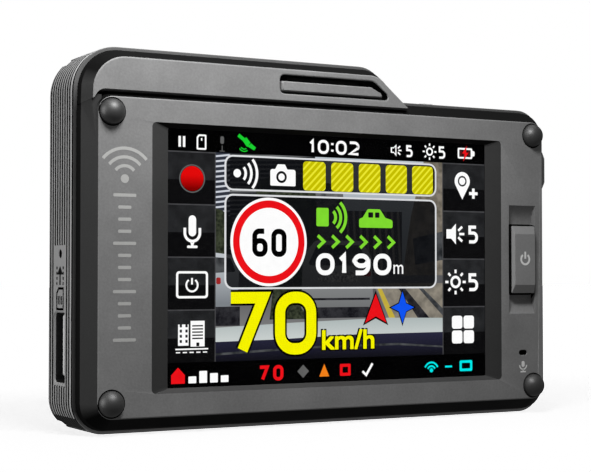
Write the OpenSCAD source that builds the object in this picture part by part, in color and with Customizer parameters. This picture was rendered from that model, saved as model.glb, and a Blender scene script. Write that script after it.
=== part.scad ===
// Dash-mounted radar detector with a road camera and a 3.2 inch touch display.
// X runs to the right as the driver sees the display, Y runs away from the driver,
// Z runs up. The origin is the centre of the flat underside.

/* [Body] */
// Width across the ribbed sides
body_w = 100; // [99:0.5:103]
// Height at the low right end of the roof
body_h = 60.4; // [60:0.2:62]
// Extra height of the raised left part of the roof
hump_h = 6.3; // [6:0.1:7]
// Depth from the display face to the back of the ribbed housing
housing_depth = 16.5; // [16.3:0.1:17]
// Radius of the outer corners
corner_r = 5.5; // [5:0.1:6]
// Width of the sloping border between the flat face and the outer edge
border_w = 2.9; // [2.6:0.1:3.1]
// Wall thickness of the ribbed housing
wall = 2; // [1.8:0.1:2.1]

/* [Display] */
// Width of the visible picture
view_w = 67.7; // [67:0.1:68]
// Height of the visible picture
view_h = 45.1; // [44.6:0.1:45.4]
// Depth of the sloping frame round the picture
frame_depth = 0.8; // [0.7:0.05:0.85]

/* [Ribs] */
// Number of grooves in each ribbed side
groove_count = 9; // [5:1:9]
// Distance between grooves
groove_pitch = 1.15; // [1:0.05:1.2]
// Depth of a groove
groove_depth = 0.35; // [0.2:0.05:0.5]

/* [Keys] */
// Height of the power key
key_h = 13.2; // [12.6:0.1:13.4]
// Width of the power key
key_w = 5.6; // [5.2:0.1:5.8]
// Distance that the power key stands out of the face
key_out = 0.9; // [0.5:0.1:1.1]
// Travel of both keys
key_travel = 0.4; // [0.2:0.05:0.45]
// Distance that the side button stands out of the housing
side_button_out = 3.3; // [2.4:0.1:3.8]

/* [Camera and radar] */
// Outer radius of the ring round the camera lens
lens_ring_r = 11; // [10.6:0.1:11.5]
// Distance that the lens ring stands behind the rear cover
lens_ring_out = 6; // [5:0.5:7]
// Depth of the rear cover behind the ribbed housing
cover_depth = 9.5; // [9.5:0.1:10]

/* [Fasteners] */
// Radius of the ball heads at the corners
ball_r = 2.25; // [2:0.05:2.3]
// Shank radius of the corner screws
shank_r = 1.2; // [1:0.05:1.2]

/* [Hidden] */

$fn = 32;
eps = 0.01;
gap = 0.1;

// Levels behind the flat face
slope_end = 3;
rim_y = 4.4;
cover_end = 4.9;
seam = 0.3;
housing_y = cover_end + seam;
rear_wall_y = housing_depth - 1.6;
cover_wall = 1.7;
inner_wall_y = 1.7;
glass_y = frame_depth + 0.15;
lcd_y = glass_y + 1;
backlight_y = lcd_y + 1.3;
bracket_y = backlight_y + 2.25;
key_board_y = 5.2;
board_y = 13.1;
board_t = 1;
cover_back_y = housing_depth + cover_depth;

// Half sizes and centres of the outline
half_w = body_w / 2;
half_h = body_h / 2;
front_y = -(housing_y + housing_depth) / 2;
corner_x = half_w - corner_r;
corner_z = half_h - corner_r;
roof_r = 7.9;
roof_x = -half_w + roof_r;
roof_z = half_h + hump_h - roof_r;
hump_end_r = 6;
hump_end_x = 7;
hump_end_z = half_h + hump_h - hump_end_r;
hump_foot_x = 16.2;

// Places of the corner fixings
fix_x = half_w - 5.3;
fix_z = half_h - 5.45;
boss_r = 3.55;
groove_end = 4.4;
insert_r = 1.8;

// Keys
key_x = 42.06;
key_z = 0.1;
key_play = 0.4;
key_flange = 0.6;
plunger_end = 4.2;
plunger_play = 0.1;
scoop_r = 6.8;
scoop_y = -5.75;
side_z = 18.55;
side_y = 8.9;
side_h = 7.6;
side_d = 4.6;
tip_slope = [0.8, 1.2];

// Card slot, reset hole and microphone hole
slot_y = 11.15;
slot_z = -15.6;
slot_size = [5.1, 12.1];
card_size = [15, 0.8, 11];
card_y = 12.3;
card_z = -15.2;
card_out_x = -half_w + 1.3;
reset_y = 10.9;
reset_z = 0.7;
reset_r = 0.75;
mic_x = 42.2;
mic_z = -18.25;

// Sound slot in the raised part
sound_x = [-12.3, 10.9];
sound_z = [29.8, 33.2];
sound_depth = 1.3;

// Rear cover, camera and radar places
flange_size = [86, 56.6];
flange_t = 1.5;
rear_x = [-37, 39];
rear_z = [-22, 22.5];
dome_taper = 2.4;
camera_x = 21;
camera_z = 1;
window_x = -19.5;
window_z = -12.5;
window_size = [16, 9];
horn_x = -19.5;
horn_z = 9.5;
opening_x = [-36, 38];
opening_z = [-20, 21];
cover_fix = [[-38.5, 24.6], [38.5, 24.6], [-38.5, -24.6], [38.5, -24.6]];
board_fix = [[-30, -24.3], [24, -24.3], [-30, 24.3], [24, 24.3]];

// Roof parts
plate_x = -4;
plate_y = 11.2;
plate_size = [20, 8.4];
inlet_x = 31;
inlet_y = 10.6;
inlet_size = [8, 3.4];

// Moves children from the display's own centre to the origin of the part.
module placed() {
    translate([0, front_y, half_h]) children();
}

// Extrudes a shape drawn in X and Z from depth y0 to depth y1.
module slab(y0, y1) {
    translate([0, y1, 0]) rotate([90, 0, 0]) linear_extrude(y1 - y0) children();
}

// A box from its lowest corner and its highest corner.
module span(low, high) {
    translate(low) cube(high - low);
}

// A round bar along Y.
module rod_y(x, z, r, y0, y1) {
    translate([x, y0, z]) rotate([-90, 0, 0]) cylinder(r = r, h = y1 - y0);
}

// Points of an arc round centre c.
function arc(c, r, a0, a1, n = 6) = [
    for (i = [0:n]) [c[0] + r * cos(a0 + (a1 - a0) * i / n), c[1] + r * sin(a0 + (a1 - a0) * i / n)]
];

// Outline of the body, moved inwards by inset.
function body_outline(inset) = concat(
    arc([corner_x, -corner_z], corner_r - inset, -90, 0),
    arc([corner_x, corner_z], corner_r - inset, 0, 90),
    [[hump_foot_x - inset * 0.45, half_h - inset]],
    arc([hump_end_x, hump_end_z], hump_end_r - inset, 42, 90),
    arc([roof_x, roof_z], roof_r - inset, 90, 180),
    arc([-corner_x, -corner_z], corner_r - inset, 180, 270)
);

module rounded_bar(size, r) {
    polygon(concat(
        arc([size[0] / 2 - r, size[1] / 2 - r], r, 0, 90, 4),
        arc([r - size[0] / 2, size[1] / 2 - r], r, 90, 180, 4),
        arc([r - size[0] / 2, r - size[1] / 2], r, 180, 270, 4),
        arc([size[0] / 2 - r, r - size[1] / 2], r, 270, 360, 4)
    ));
}

// The flat face below the raised part, moved outwards by grow.
module main_face(grow) {
    rounded_bar([body_w - 2 * border_w + 2 * grow, body_h - 2 * border_w + 2 * grow],
        corner_r - border_w + grow);
}

// The raised part of the flat face, moved outwards by grow.
module hump_face(grow) {
    top = half_h + hump_h - 2.3;
    low = half_h - 1.65;
    left = -half_w + 1.9;
    polygon(concat(
        [[hump_foot_x - 0.9 + grow * 0.7, low - grow * 0.3]],
        arc([hump_end_x, top - hump_end_r + 1.8], hump_end_r - 1.8 + grow, 42, 90),
        arc([left + 6, top - 6], 6 + grow, 90, 180),
        arc([left + 1.8, low + 1.8], 1.8 + grow * 0.3, 180, 270, 4)
    ));
}

module front_cover() {
    view_x = -0.2;
    color("dimgray") placed() difference() {
        union() {
            hull() {
                slab(0, eps) main_face(0);
                slab(slope_end, cover_end) main_face(2.1);
            }
            hull() {
                slab(0, eps) hump_face(0);
                slab(slope_end, cover_end) hump_face(1.5);
            }
            slab(rim_y, cover_end) polygon(body_outline(0));
        }
        // hollow behind the face, leaving the corner bosses
        difference() {
            slab(inner_wall_y, cover_end + 1) polygon(body_outline(2.3));
            for (sx = [-1, 1], sz = [-1, 1]) rod_y(sx * fix_x, sz * fix_z, boss_r, 0, cover_end + 2);
            for (z = [11.8, -12.6]) rod_y(key_x, z, 1.5, 0, key_board_y - gap);
        }
        // picture window with its sloping frame
        hull() {
            translate([view_x, -eps, 0]) slab(-eps, 0) square([74.3, 46.7], center = true);
            translate([view_x, 0, 0]) slab(frame_depth, frame_depth + eps)
                square([view_w, view_h], center = true);
        }
        span([view_x - view_w / 2, 0, -view_h / 2], [view_x + view_w / 2, 3, view_h / 2]);
        span([-38.8, frame_depth + 0.1, -24.9], [37.9, 3, 24.9]);
        // power key opening with a finger scoop above and below it
        span([key_x - key_w / 2 - key_play, -1, key_z - key_h / 2 - key_play],
            [key_x + key_w / 2 + key_play, 3, key_z + key_h / 2 + key_play]);
        for (s = [-1, 1])
            translate([key_x, scoop_y, key_z + s * (key_h / 2 + key_play)]) rotate([0, 90, 0])
                cylinder(r = scoop_r, h = key_w + 2 * key_play, center = true);
        // microphone hole
        translate([mic_x, 0, mic_z]) slab(-1, 3) rounded_bar([1.9, 1], 0.49);
        // sound slot: a pocket for the bar, and a slit through to the speaker
        slab(-1, sound_depth) sound_outline(0);
        span([sound_x[0] + 2, 0, sound_z[1] - 0.8], [sound_x[1] - 5, 3, sound_z[1] - 0.2]);
        // corner screws
        for (sx = [-1, 1], sz = [-1, 1]) {
            rod_y(sx * fix_x, sz * fix_z, ball_r + 0.15, -1, 1.2);
            rod_y(sx * fix_x, sz * fix_z, shank_r + 0.15, -1, cover_end + 1);
        }
        for (z = [11.8, -12.6]) rod_y(key_x, z, 0.7, 2.4, key_board_y + 1);
    }
}

// Outline of the sound slot, moved inwards by inset.
module sound_outline(inset) {
    x0 = sound_x[0] + inset;
    x1 = sound_x[1] - 1.4 * inset;
    z0 = sound_z[0] + inset;
    z1 = sound_z[1] - 1.4 * inset;
    polygon([[x0, z0], [x1, z0], [x1 - 1.2, z0 + 1.6], [x1 - 3.2, z1], [x0, z1]]);
}

module speaker_bar() {
    color("gray") placed() slab(0.15, sound_depth - 0.02) sound_outline(0.55);
}

module corner_screws() {
    color("black") placed() for (sx = [-1, 1], sz = [-1, 1]) {
        translate([sx * fix_x, 0.2, sz * fix_z]) intersection() {
            sphere(r = ball_r);
            translate([-5, -10, -5]) cube([10, 10.9, 10]);
        }
        rod_y(sx * fix_x, sz * fix_z, shank_r, 1, 13);
    }
}

module touch_panel() {
    color("black") placed() span([-38.2, glass_y, -24.4], [37.4, glass_y + 0.7, 24.4]);
}

module lcd_panel() {
    color("darkslategray") placed() span([-37.8, lcd_y, -24.2], [37, lcd_y + 1.2, 24.2]);
}

module backlight_unit() {
    color("white") placed() span([-37.8, backlight_y, -24.2], [37, backlight_y + 2.1, 24.2]);
}

// A pressed steel tray with a rim window and four ears.
module display_bracket() {
    color("silver") placed() difference() {
        union() {
            span([-38, bracket_y, -24.2], [37.2, bracket_y + 0.4, 24.2]);
            for (x = [-30, 20], s = [-1, 1])
                span([x, bracket_y, s > 0 ? 24.1 : -27], [x + 6, bracket_y + 0.4, s > 0 ? 27 : -24.1]);
        }
        for (x = [-27, 23], s = [-1, 1]) rod_y(x, s * 25.6, 0.8, 0, 10);
        span([-30, 0, 6], [-14, 10, 18]);
        span([14, 0, 6], [30, 10, 18]);
    }
}

// A folded ribbon from the foot of the picture panel to the main board.
module display_flex() {
    x0 = -12;
    x1 = 12;
    t = 0.2;
    back = board_y - 2.4;
    color("peru") placed() {
        span([x0, lcd_y + 0.5, -25.2], [x1, lcd_y + 0.7, -24.25]);
        span([x0, lcd_y + 0.5, -25.4], [x1, back + t, -25.2]);
        span([x0, back, -25.2], [x1, back + t, -20]);
    }
}

module power_key() {
    top = -key_out;
    color("dimgray") placed() translate([key_x, 0, key_z]) {
        hull() {
            slab(top, top + eps) square([key_w - 1, key_h - 3.4], center = true);
            slab(top + 0.9, 1.75) square([key_w, key_h], center = true);
        }
        slab(1.75, 2.5) square([key_w + 2 * key_flange, key_h + 2 * key_flange], center = true);
    }
}

module power_plunger() {
    color("ivory") placed() rod_y(key_x, key_z, 1, 2.5, plunger_end);
}

module power_switch() {
    color("silver") placed() difference() {
        span([key_x - 2.25, 3.5, key_z - 2.25], [key_x + 2.25, key_board_y, key_z + 2.25]);
        rod_y(key_x, key_z, 1 + plunger_play, 3, plunger_end + key_travel + 0.2);
    }
}

module key_board() {
    color("darkgreen") placed() difference() {
        span([38.4, key_board_y, -21], [46.2, key_board_y + 1, 13.8]);
        for (z = [11.8, -12.6]) rod_y(key_x, z, 0.9, 0, 10);
    }
}

module key_board_screws() {
    color("silver") placed() for (z = [11.8, -12.6]) {
        rod_y(key_x, z, 0.6, 3, key_board_y + 1);
        rod_y(key_x, z, 1.4, key_board_y + 1, key_board_y + 1.8);
    }
}

module microphone() {
    color("silver") placed() rod_y(mic_x, mic_z, 1.9, 3.6, key_board_y);
}

// A rubber sleeve that leads the sound from the hole to the capsule.
module microphone_boot() {
    color("black") placed() difference() {
        rod_y(mic_x, mic_z, 2.4, inner_wall_y, 3.6);
        rod_y(mic_x, mic_z, 1.1, 1, 4);
    }
}

// The ribbed tub that holds the boards.
module rear_housing() {
    color("gray") placed() difference() {
        union() {
            difference() {
                slab(housing_y, housing_depth) polygon(body_outline(0));
                slab(housing_y - 1, rear_wall_y) polygon(body_outline(wall));
            }
            for (sx = [-1, 1], sz = [-1, 1])
                rod_y(sx * fix_x, sz * fix_z, boss_r, housing_y, rear_wall_y + eps);
            for (p = board_fix) rod_y(p[0], p[1], 2, board_y + board_t + gap, rear_wall_y + eps);
            // small lug beside the power inlet
            span([21.9, 5.6, half_h - eps], [24.7, 7.4, half_h + 0.3]);
        }
        // grooves in both sides, which go on round the corners
        for (i = [0:groove_count - 1]) {
            y = 6 + i * groove_pitch;
            for (s = [-1, 1]) intersection() {
                slab(y, y + groove_pitch * 0.5) difference() {
                    polygon(body_outline(-1));
                    polygon(body_outline(groove_depth));
                }
                span([s * half_w - corner_r, 0, -half_h + groove_end],
                    [s * half_w + corner_r, 100, half_h - groove_end]);
            }
        }
        // opening for the radar, the camera and the battery
        span([opening_x[0], rear_wall_y - 1, opening_z[0]], [opening_x[1], housing_depth + 1, opening_z[1]]);
        // corner inserts and screw tips
        for (sx = [-1, 1], sz = [-1, 1]) {
            rod_y(sx * fix_x, sz * fix_z, insert_r, housing_y - 1, housing_y + 4);
            rod_y(sx * fix_x, sz * fix_z, shank_r + 0.2, housing_y, 13.6);
        }
        for (p = board_fix) rod_y(p[0], p[1], 0.95, 10, housing_depth - 0.4);
        for (p = cover_fix) rod_y(p[0], p[1], 0.95, 10, housing_depth + 1);
        // card slot and reset hole
        span([-half_w - 1, slot_y - slot_size[0] / 2, slot_z - slot_size[1] / 2],
            [-half_w + 3, slot_y + slot_size[0] / 2, slot_z + slot_size[1] / 2]);
        translate([-half_w - 1, reset_y, reset_z]) rotate([0, 90, 0]) cylinder(r = reset_r, h = 4);
        // side button
        span([half_w - 3, side_y - side_d / 2 - 0.3, side_z - side_h / 2 - 0.3],
            [half_w + 1, side_y + side_d / 2 + 0.3, side_z + side_h / 2 + 0.3]);
        // contact plate pocket and power inlet in the roof
        span([plate_x - plate_size[0] / 2, plate_y - plate_size[1] / 2, half_h + hump_h - 1],
            [plate_x + plate_size[0] / 2, plate_y + plate_size[1] / 2, half_h + hump_h + 1]);
        for (s = [-1, 1]) span([plate_x + s * 6.5 - 2.8, plate_y - 2.8, half_h + hump_h - 3],
            [plate_x + s * 6.5 + 2.8, plate_y + 2.8, half_h + hump_h]);
        span([inlet_x - inlet_size[0] / 2 - gap, inlet_y - inlet_size[1] / 2 - gap, half_h - 3],
            [inlet_x + inlet_size[0] / 2 + gap, inlet_y + inlet_size[1] / 2 + gap, half_h + 1]);
        // cooling slots in the low part of the roof
        for (x = [36.8:1.8:42.2]) span([x, 7, half_h - wall - 0.05], [x + 0.9, 14, half_h + 1]);
    }
}

module threaded_inserts() {
    color("gold") placed() for (sx = [-1, 1], sz = [-1, 1]) difference() {
        rod_y(sx * fix_x, sz * fix_z, insert_r, housing_y + 0.1, housing_y + 3.9);
        rod_y(sx * fix_x, sz * fix_z, shank_r + 0.05, housing_y - 1, housing_y + 5);
    }
}

module main_board() {
    color("darkgreen") placed() difference() {
        union() {
            span([-46.6, board_y, -20.8], [46.6, board_y + board_t, 20.8]);
            span([-40, board_y, -26.8], [40, board_y + board_t, 26.8]);
        }
        for (p = board_fix) rod_y(p[0], p[1], 1.1, 10, 20);
    }
}

module board_screws() {
    color("silver") placed() for (p = board_fix) {
        rod_y(p[0], p[1], 0.85, board_y - eps, housing_depth - 0.8);
        rod_y(p[0], p[1], 1.8, board_y - 1.1, board_y);
    }
}

module main_processor() {
    color("black") placed() span([-7, board_y - 1.3, -7], [7, board_y, 7]);
}

module thermal_pad() {
    color("lightblue") placed() span([-6.5, board_y - 1.8, -6.5], [6.5, board_y - 1.3, 6.5]);
}

module heat_sink() {
    top = bracket_y + 1.4;
    base = board_y - 3;
    color("silver") placed() {
        span([-15, base, -11], [15, board_y - 1.8, 11]);
        for (x = [-15:3:12]) span([x, top, -11], [x + 1.2, base + eps, 11]);
    }
}

module memory_chips() {
    color("black") placed() for (z = [-12, 2]) span([19, board_y - 1, z], [27, board_y, z + 10]);
}

module shield_can() {
    low = [-32, board_y - 2.2, 4];
    high = [-18, board_y, 18];
    t = 0.25;
    color("silver") placed() difference() {
        span(low, high);
        span(low + [t, t, t], high + [-t, 1, -t]);
    }
}

// Coils and capacitors along the foot of the board, and the ribbon socket.
module board_parts() {
    color("dimgray") placed() {
        for (x = [15:5:35]) rod_y(x, -17.5, 1.6, board_y - 2.2, board_y);
        for (x = [30:4.5:39]) span([x, board_y - 1.8, 8], [x + 3.5, board_y, 11.5]);
        span([-12.5, board_y - 2.1, -23.4], [12.5, board_y, -20]);
    }
}

module card_socket() {
    t = 0.25;
    high_x = card_out_x + card_size[0] + 0.6;
    low = [-half_w + wall + 0.1, card_y - card_size[1] / 2 - 0.1 - t, card_z - card_size[2] / 2 - 0.1 - t];
    high = [high_x, card_y + card_size[1] / 2 + 0.1 + t, card_z + card_size[2] / 2 + 0.1 + t];
    color("silver") placed() difference() {
        span(low, high);
        span(low + [-1, t, t], high - [t, t, t]);
    }
}

module memory_card() {
    color("black") placed() span([card_out_x, card_y - card_size[1] / 2, card_z - card_size[2] / 2],
        [card_out_x + card_size[0], card_y + card_size[1] / 2, card_z + card_size[2] / 2]);
}

module reset_switch() {
    color("silver") placed() {
        span([-46.5, reset_y - 1.6, reset_z - 2], [-43.5, board_y, reset_z + 2]);
        translate([-47.6, reset_y, reset_z]) rotate([0, 90, 0]) cylinder(r = 0.6, h = 1.2);
    }
}

// Button with a chamfered tip, a shaft and a flange behind the wall.
module side_button() {
    tip_x = half_w + side_button_out;
    neck_x = tip_x - tip_slope[0];
    color("dimgray") placed() translate([0, side_y, side_z]) {
        hull() {
            span([neck_x - eps, -side_d / 2, -side_h / 2], [neck_x, side_d / 2, side_h / 2]);
            span([tip_x - eps, -side_d / 2 + 0.3, tip_slope[1] - side_h / 2],
                [tip_x, side_d / 2 - 0.3, side_h / 2 - tip_slope[1]]);
        }
        span([half_w - wall - 0.3, -side_d / 2, -side_h / 2], [neck_x, side_d / 2, side_h / 2]);
        span([half_w - wall - 0.9, -side_d / 2 - 0.5, -side_h / 2 - 0.7],
            [half_w - wall - 0.1, side_d / 2 + 0.5, side_h / 2 - 0.8]);
    }
}

module side_plunger() {
    color("ivory") placed() translate([half_w - wall - 2.5, side_y, side_z]) rotate([0, 90, 0])
        cylinder(r = 0.8, h = 1.6);
}

module side_switch() {
    high_x = half_w - wall - 1.7;
    color("silver") placed() difference() {
        span([high_x - 2.2, side_y - 1.7, side_z - 2.1], [high_x, board_y, side_z + 2.1]);
        translate([half_w - wall - 2.7 - key_travel, side_y, side_z]) rotate([0, 90, 0])
            cylinder(r = 0.8 + plunger_play, h = 3);
    }
}

module speaker() {
    color("black") placed() {
        span([-12, 2.4, 25.4], [9, 7.4, 33.4]);
        span([-8, 7.4, 27.4], [5, 9.4, 31.4]);
    }
}

module gps_antenna() {
    color("burlywood") placed() {
        span([-40, 6, 27.4], [-28, 15.5 - 1, 28.4]);
        span([-39.5, 6.3, 28.4], [-28.5, 14.3, 32.4]);
    }
}

module battery() {
    color("silver") placed() span([-33.5, board_y + board_t + 0.3, -18.5], [-5, 18.7, -4.5]);
}

// Domed cover over the radar and the camera, with the lens tunnel.
module rear_cover() {
    color("darkslategray") placed() difference() {
        union() {
            slab(housing_depth, housing_depth + flange_t) rounded_bar(flange_size, 4);
            hull() {
                slab(housing_depth, housing_depth + flange_t + 0.5) rear_outline(0);
                slab(cover_back_y - 1, cover_back_y) rear_outline(-dome_taper);
            }
            rod_y(camera_x, camera_z, lens_ring_r + 1.8, housing_depth + 1, cover_back_y + 1);
        }
        hull() {
            slab(housing_depth - 1, housing_depth + 0.2) rear_outline(-cover_wall);
            slab(cover_back_y - cover_wall - 0.5, cover_back_y - cover_wall)
                rear_outline(-dome_taper - cover_wall);
        }
        rod_y(camera_x, camera_z, lens_ring_r - 1.4, housing_depth, cover_back_y + 2);
        translate([window_x, 0, window_z]) slab(housing_depth, cover_back_y + 1)
            square([window_size[0] - 3, window_size[1] - 3], center = true);
        translate([window_x, 0, window_z]) slab(cover_back_y - 0.9, cover_back_y + 1)
            square(window_size + [0.2, 0.2], center = true);
        for (p = cover_fix) rod_y(p[0], p[1], 1.1, housing_depth - 1, housing_depth + 3);
    }
}

module rear_outline(grow) {
    translate([(rear_x[0] + rear_x[1]) / 2, (rear_z[0] + rear_z[1]) / 2])
        rounded_bar([rear_x[1] - rear_x[0] + 2 * grow, rear_z[1] - rear_z[0] + 2 * grow], 6 + grow);
}

module cover_screws() {
    color("silver") placed() for (p = cover_fix) {
        rod_y(p[0], p[1], 0.85, board_y + board_t + 0.3, housing_depth + flange_t + eps);
        rod_y(p[0], p[1], 1.8, housing_depth + flange_t, housing_depth + flange_t + 1.1);
    }
}

// Cast horn: a flared mouth towards the road on a short feed block.
module radar_horn() {
    mouth_y = cover_back_y - cover_wall - 0.3;
    throat_y = housing_depth + 1.2;
    t = 1;
    color("silver") placed() translate([horn_x, 0, horn_z]) {
        difference() {
            hull() {
                slab(throat_y, throat_y + eps) square([14, 8], center = true);
                slab(mouth_y - eps, mouth_y) square([27, 15], center = true);
            }
            hull() {
                slab(throat_y + t, throat_y + t + eps) square([14 - 2 * t, 8 - 2 * t], center = true);
                slab(mouth_y, mouth_y + eps) square([27 - 2 * t, 15 - 2 * t], center = true);
            }
        }
        slab(board_y + board_t + 1.5, throat_y) square([16, 9], center = true);
    }
}

module radar_board() {
    color("darkgreen") placed() {
        span([-33, board_y + board_t + 0.4, -2], [-4, 21, -1]);
        span([-30, board_y + board_t + 1.2, -3.6], [-10, 19.5, -2]);
    }
}

// Lens over the laser sensor, with a bulged outer face.
module laser_window() {
    color("maroon") placed() translate([window_x, 0, window_z]) {
        slab(cover_back_y - 0.9, cover_back_y + 0.4) square(window_size, center = true);
        slab(cover_back_y + 0.4, cover_back_y + 0.9)
            square(window_size - [1.6, 1.6], center = true);
    }
}

module laser_sensor() {
    color("black") placed() {
        span([window_x - 3, 19.6, window_z - 3], [window_x + 3, 20.6, window_z + 3]);
        rod_y(window_x, window_z, 2.2, 20.6, 22.6);
        translate([window_x, 22.6, window_z]) intersection() {
            sphere(r = 2.2);
            translate([-3, 0, -3]) cube([6, 6, 6]);
        }
    }
}

module sensor_board() {
    color("darkgreen") placed() span([camera_x - 9.5, 15, camera_z - 9.5], [camera_x + 9.5, 16, camera_z + 9.5]);
}

module image_sensor() {
    color("black") placed() span([camera_x - 3.6, 16, camera_z - 3.2], [camera_x + 3.6, 17.1, camera_z + 3.2]);
}

module lens_holder() {
    color("black") placed() difference() {
        union() {
            span([camera_x - 8, 16, camera_z - 8], [camera_x + 8, 18.6, camera_z + 8]);
            rod_y(camera_x, camera_z, 7.6, 18.6, 23);
        }
        rod_y(camera_x, camera_z, 6.05, 17.4, 24);
        span([camera_x - 5, 15, camera_z - 5], [camera_x + 5, 17.4, camera_z + 5]);
    }
}

module lens_barrel() {
    color("black") placed() difference() {
        union() {
            rod_y(camera_x, camera_z, 6, 18, 24);
            rod_y(camera_x, camera_z, 8.4, 23.4, cover_back_y + 3.4);
        }
        rod_y(camera_x, camera_z, 4, 17, 25);
        rod_y(camera_x, camera_z, 7, 24.6, cover_back_y + 4);
    }
}

module lens_glass() {
    color("lightsteelblue") placed() {
        rod_y(camera_x, camera_z, 6.95, 24.7, 25.8);
        translate([camera_x, 19.4, camera_z]) intersection() {
            sphere(r = 9, $fn = 64);
            translate([-7, 6.3, -7]) cube([14, 5, 14]);
            rotate([-90, 0, 0]) cylinder(r = 6.3, h = 12);
        }
    }
}

module lens_ring() {
    base_y = cover_back_y + 1;
    color("black") placed() difference() {
        union() {
            rod_y(camera_x, camera_z, lens_ring_r, base_y, base_y + lens_ring_out);
            rod_y(camera_x, camera_z, lens_ring_r + 1, base_y, base_y + 1.6);
        }
        rod_y(camera_x, camera_z, 8.6, base_y - 1, base_y + 3);
        translate([camera_x, base_y + 2.6, camera_z]) rotate([-90, 0, 0])
            cylinder(r1 = 8.6, r2 = lens_ring_r - 0.8, h = lens_ring_out - 2.5);
    }
}

module power_inlet() {
    high = half_h - 0.6;
    low = [inlet_x - inlet_size[0] / 2, inlet_y - inlet_size[1] / 2, high - 8];
    t = 0.4;
    color("silver") placed() {
        difference() {
            span(low, [inlet_x + inlet_size[0] / 2, inlet_y + inlet_size[1] / 2, high]);
            span(low + [t, t, 1.5], [inlet_x + inlet_size[0] / 2 - t, inlet_y + inlet_size[1] / 2 - t, high + 1]);
        }
        span([inlet_x - 2.4, inlet_y - 0.5, high - 6.5], [inlet_x + 2.4, inlet_y + 0.5, high - 1.5]);
    }
}

// Insulating plate in the roof that carries the contacts.
module contact_plate() {
    color("black") placed() difference() {
        span([plate_x - plate_size[0] / 2 + gap, plate_y - plate_size[1] / 2 + gap, half_h + hump_h - 1],
            [plate_x + plate_size[0] / 2 - gap, plate_y + plate_size[1] / 2 - gap, half_h + hump_h - 0.2]);
        for (i = [-1.5:1.5]) translate([plate_x + i * 2.2, plate_y, half_h + hump_h - 2]) cylinder(r = 0.8, h = 3);
    }
}

module contact_pads() {
    color("gold") placed() for (i = [-1.5:1.5])
        translate([plate_x + i * 2.2, plate_y, half_h + hump_h - 1]) cylinder(r = 0.8, h = 0.85);
}

module holding_magnets() {
    color("silver") placed() for (s = [-1, 1])
        translate([plate_x + s * 6.5, plate_y, half_h + hump_h - 2.9]) cylinder(r = 2.5, h = 1.8);
}

front_cover();
speaker_bar();
corner_screws();
touch_panel();
lcd_panel();
backlight_unit();
display_bracket();
display_flex();
power_key();
power_plunger();
power_switch();
key_board();
key_board_screws();
microphone();
microphone_boot();
rear_housing();
threaded_inserts();
main_board();
board_screws();
main_processor();
thermal_pad();
heat_sink();
memory_chips();
shield_can();
board_parts();
card_socket();
memory_card();
reset_switch();
side_button();
side_plunger();
side_switch();
speaker();
gps_antenna();
battery();
rear_cover();
cover_screws();
radar_horn();
radar_board();
laser_window();
laser_sensor();
sensor_board();
image_sensor();
lens_holder();
lens_barrel();
lens_glass();
lens_ring();
power_inlet();
contact_plate();
contact_pads();
holding_magnets();
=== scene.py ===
"""Radar detector with a road camera and a touch display: its looks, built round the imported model.

Shapes are drawn in millimetres in the face frame: x to the right, d behind the flat face and
z up from the middle of the display. A finished piece is moved into the row frame, in metres.
"""

import math

import bmesh
import bpy
from mathutils import Matrix, Vector


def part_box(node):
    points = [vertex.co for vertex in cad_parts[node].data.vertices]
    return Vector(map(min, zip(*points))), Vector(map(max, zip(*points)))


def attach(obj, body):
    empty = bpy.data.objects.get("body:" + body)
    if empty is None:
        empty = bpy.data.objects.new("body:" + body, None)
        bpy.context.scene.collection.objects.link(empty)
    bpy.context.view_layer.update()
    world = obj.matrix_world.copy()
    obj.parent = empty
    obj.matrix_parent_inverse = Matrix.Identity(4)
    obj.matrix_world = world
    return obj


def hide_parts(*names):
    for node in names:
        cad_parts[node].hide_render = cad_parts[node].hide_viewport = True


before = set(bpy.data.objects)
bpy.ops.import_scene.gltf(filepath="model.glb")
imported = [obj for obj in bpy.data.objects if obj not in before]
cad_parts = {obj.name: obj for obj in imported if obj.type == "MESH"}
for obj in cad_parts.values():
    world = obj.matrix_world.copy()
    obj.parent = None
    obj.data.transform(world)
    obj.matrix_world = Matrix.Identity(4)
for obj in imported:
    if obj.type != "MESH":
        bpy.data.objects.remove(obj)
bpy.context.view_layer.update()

MM = 0.001
FACE_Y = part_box("front_cover")[0].y
CENTRE_Z = sum(corner.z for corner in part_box("touch_panel")) / 2
TO_ROW = Matrix.Translation((0, FACE_Y, CENTRE_Z)) @ Matrix.Scale(MM, 4)


def measure(node):
    """Lowest and highest corner of a CAD node in the face frame, in millimetres."""
    return [TO_ROW.inverted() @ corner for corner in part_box(node)]


# Driving dimensions, read from the frame
HOUSE_LOW, HOUSE_HIGH = measure("rear_housing")
COVER_HIGH = measure("front_cover")[1]
SCREW_LOW, SCREW_HIGH = measure("corner_screws")
KEY_LOW, KEY_HIGH = measure("power_key")
SIDE_LOW, SIDE_HIGH = measure("side_button")
DOME_HIGH = measure("rear_cover")[1]
RING_LOW, RING_HIGH = measure("lens_ring")
LASER_LOW, LASER_HIGH = measure("laser_window")
CARD_LOW, CARD_HIGH = measure("memory_card")
PLATE_LOW, PLATE_HIGH = measure("contact_plate")
INLET_LOW, INLET_HIGH = measure("power_inlet")

HALF_W = HOUSE_HIGH.x
HALF_H = -HOUSE_LOW.z
ROOF_Z = COVER_HIGH.z
COVER_END = COVER_HIGH.y
HOUSE_FRONT = HOUSE_LOW.y
HOUSE_BACK = HOUSE_HIGH.y

# Dimensions of the body that the frame doesn't give directly
CORNER_R = 5.5
ROOF_R = 7.9
BORDER = 2.9
RAISED_LEFT, RAISED_TOP, RAISED_FOOT = 1.9, 2.3, 1.65
COVER_WALL = 1.7
SLOPE_END = 3.0
RIM_D = 4.4
WALL = 2.0
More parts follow.
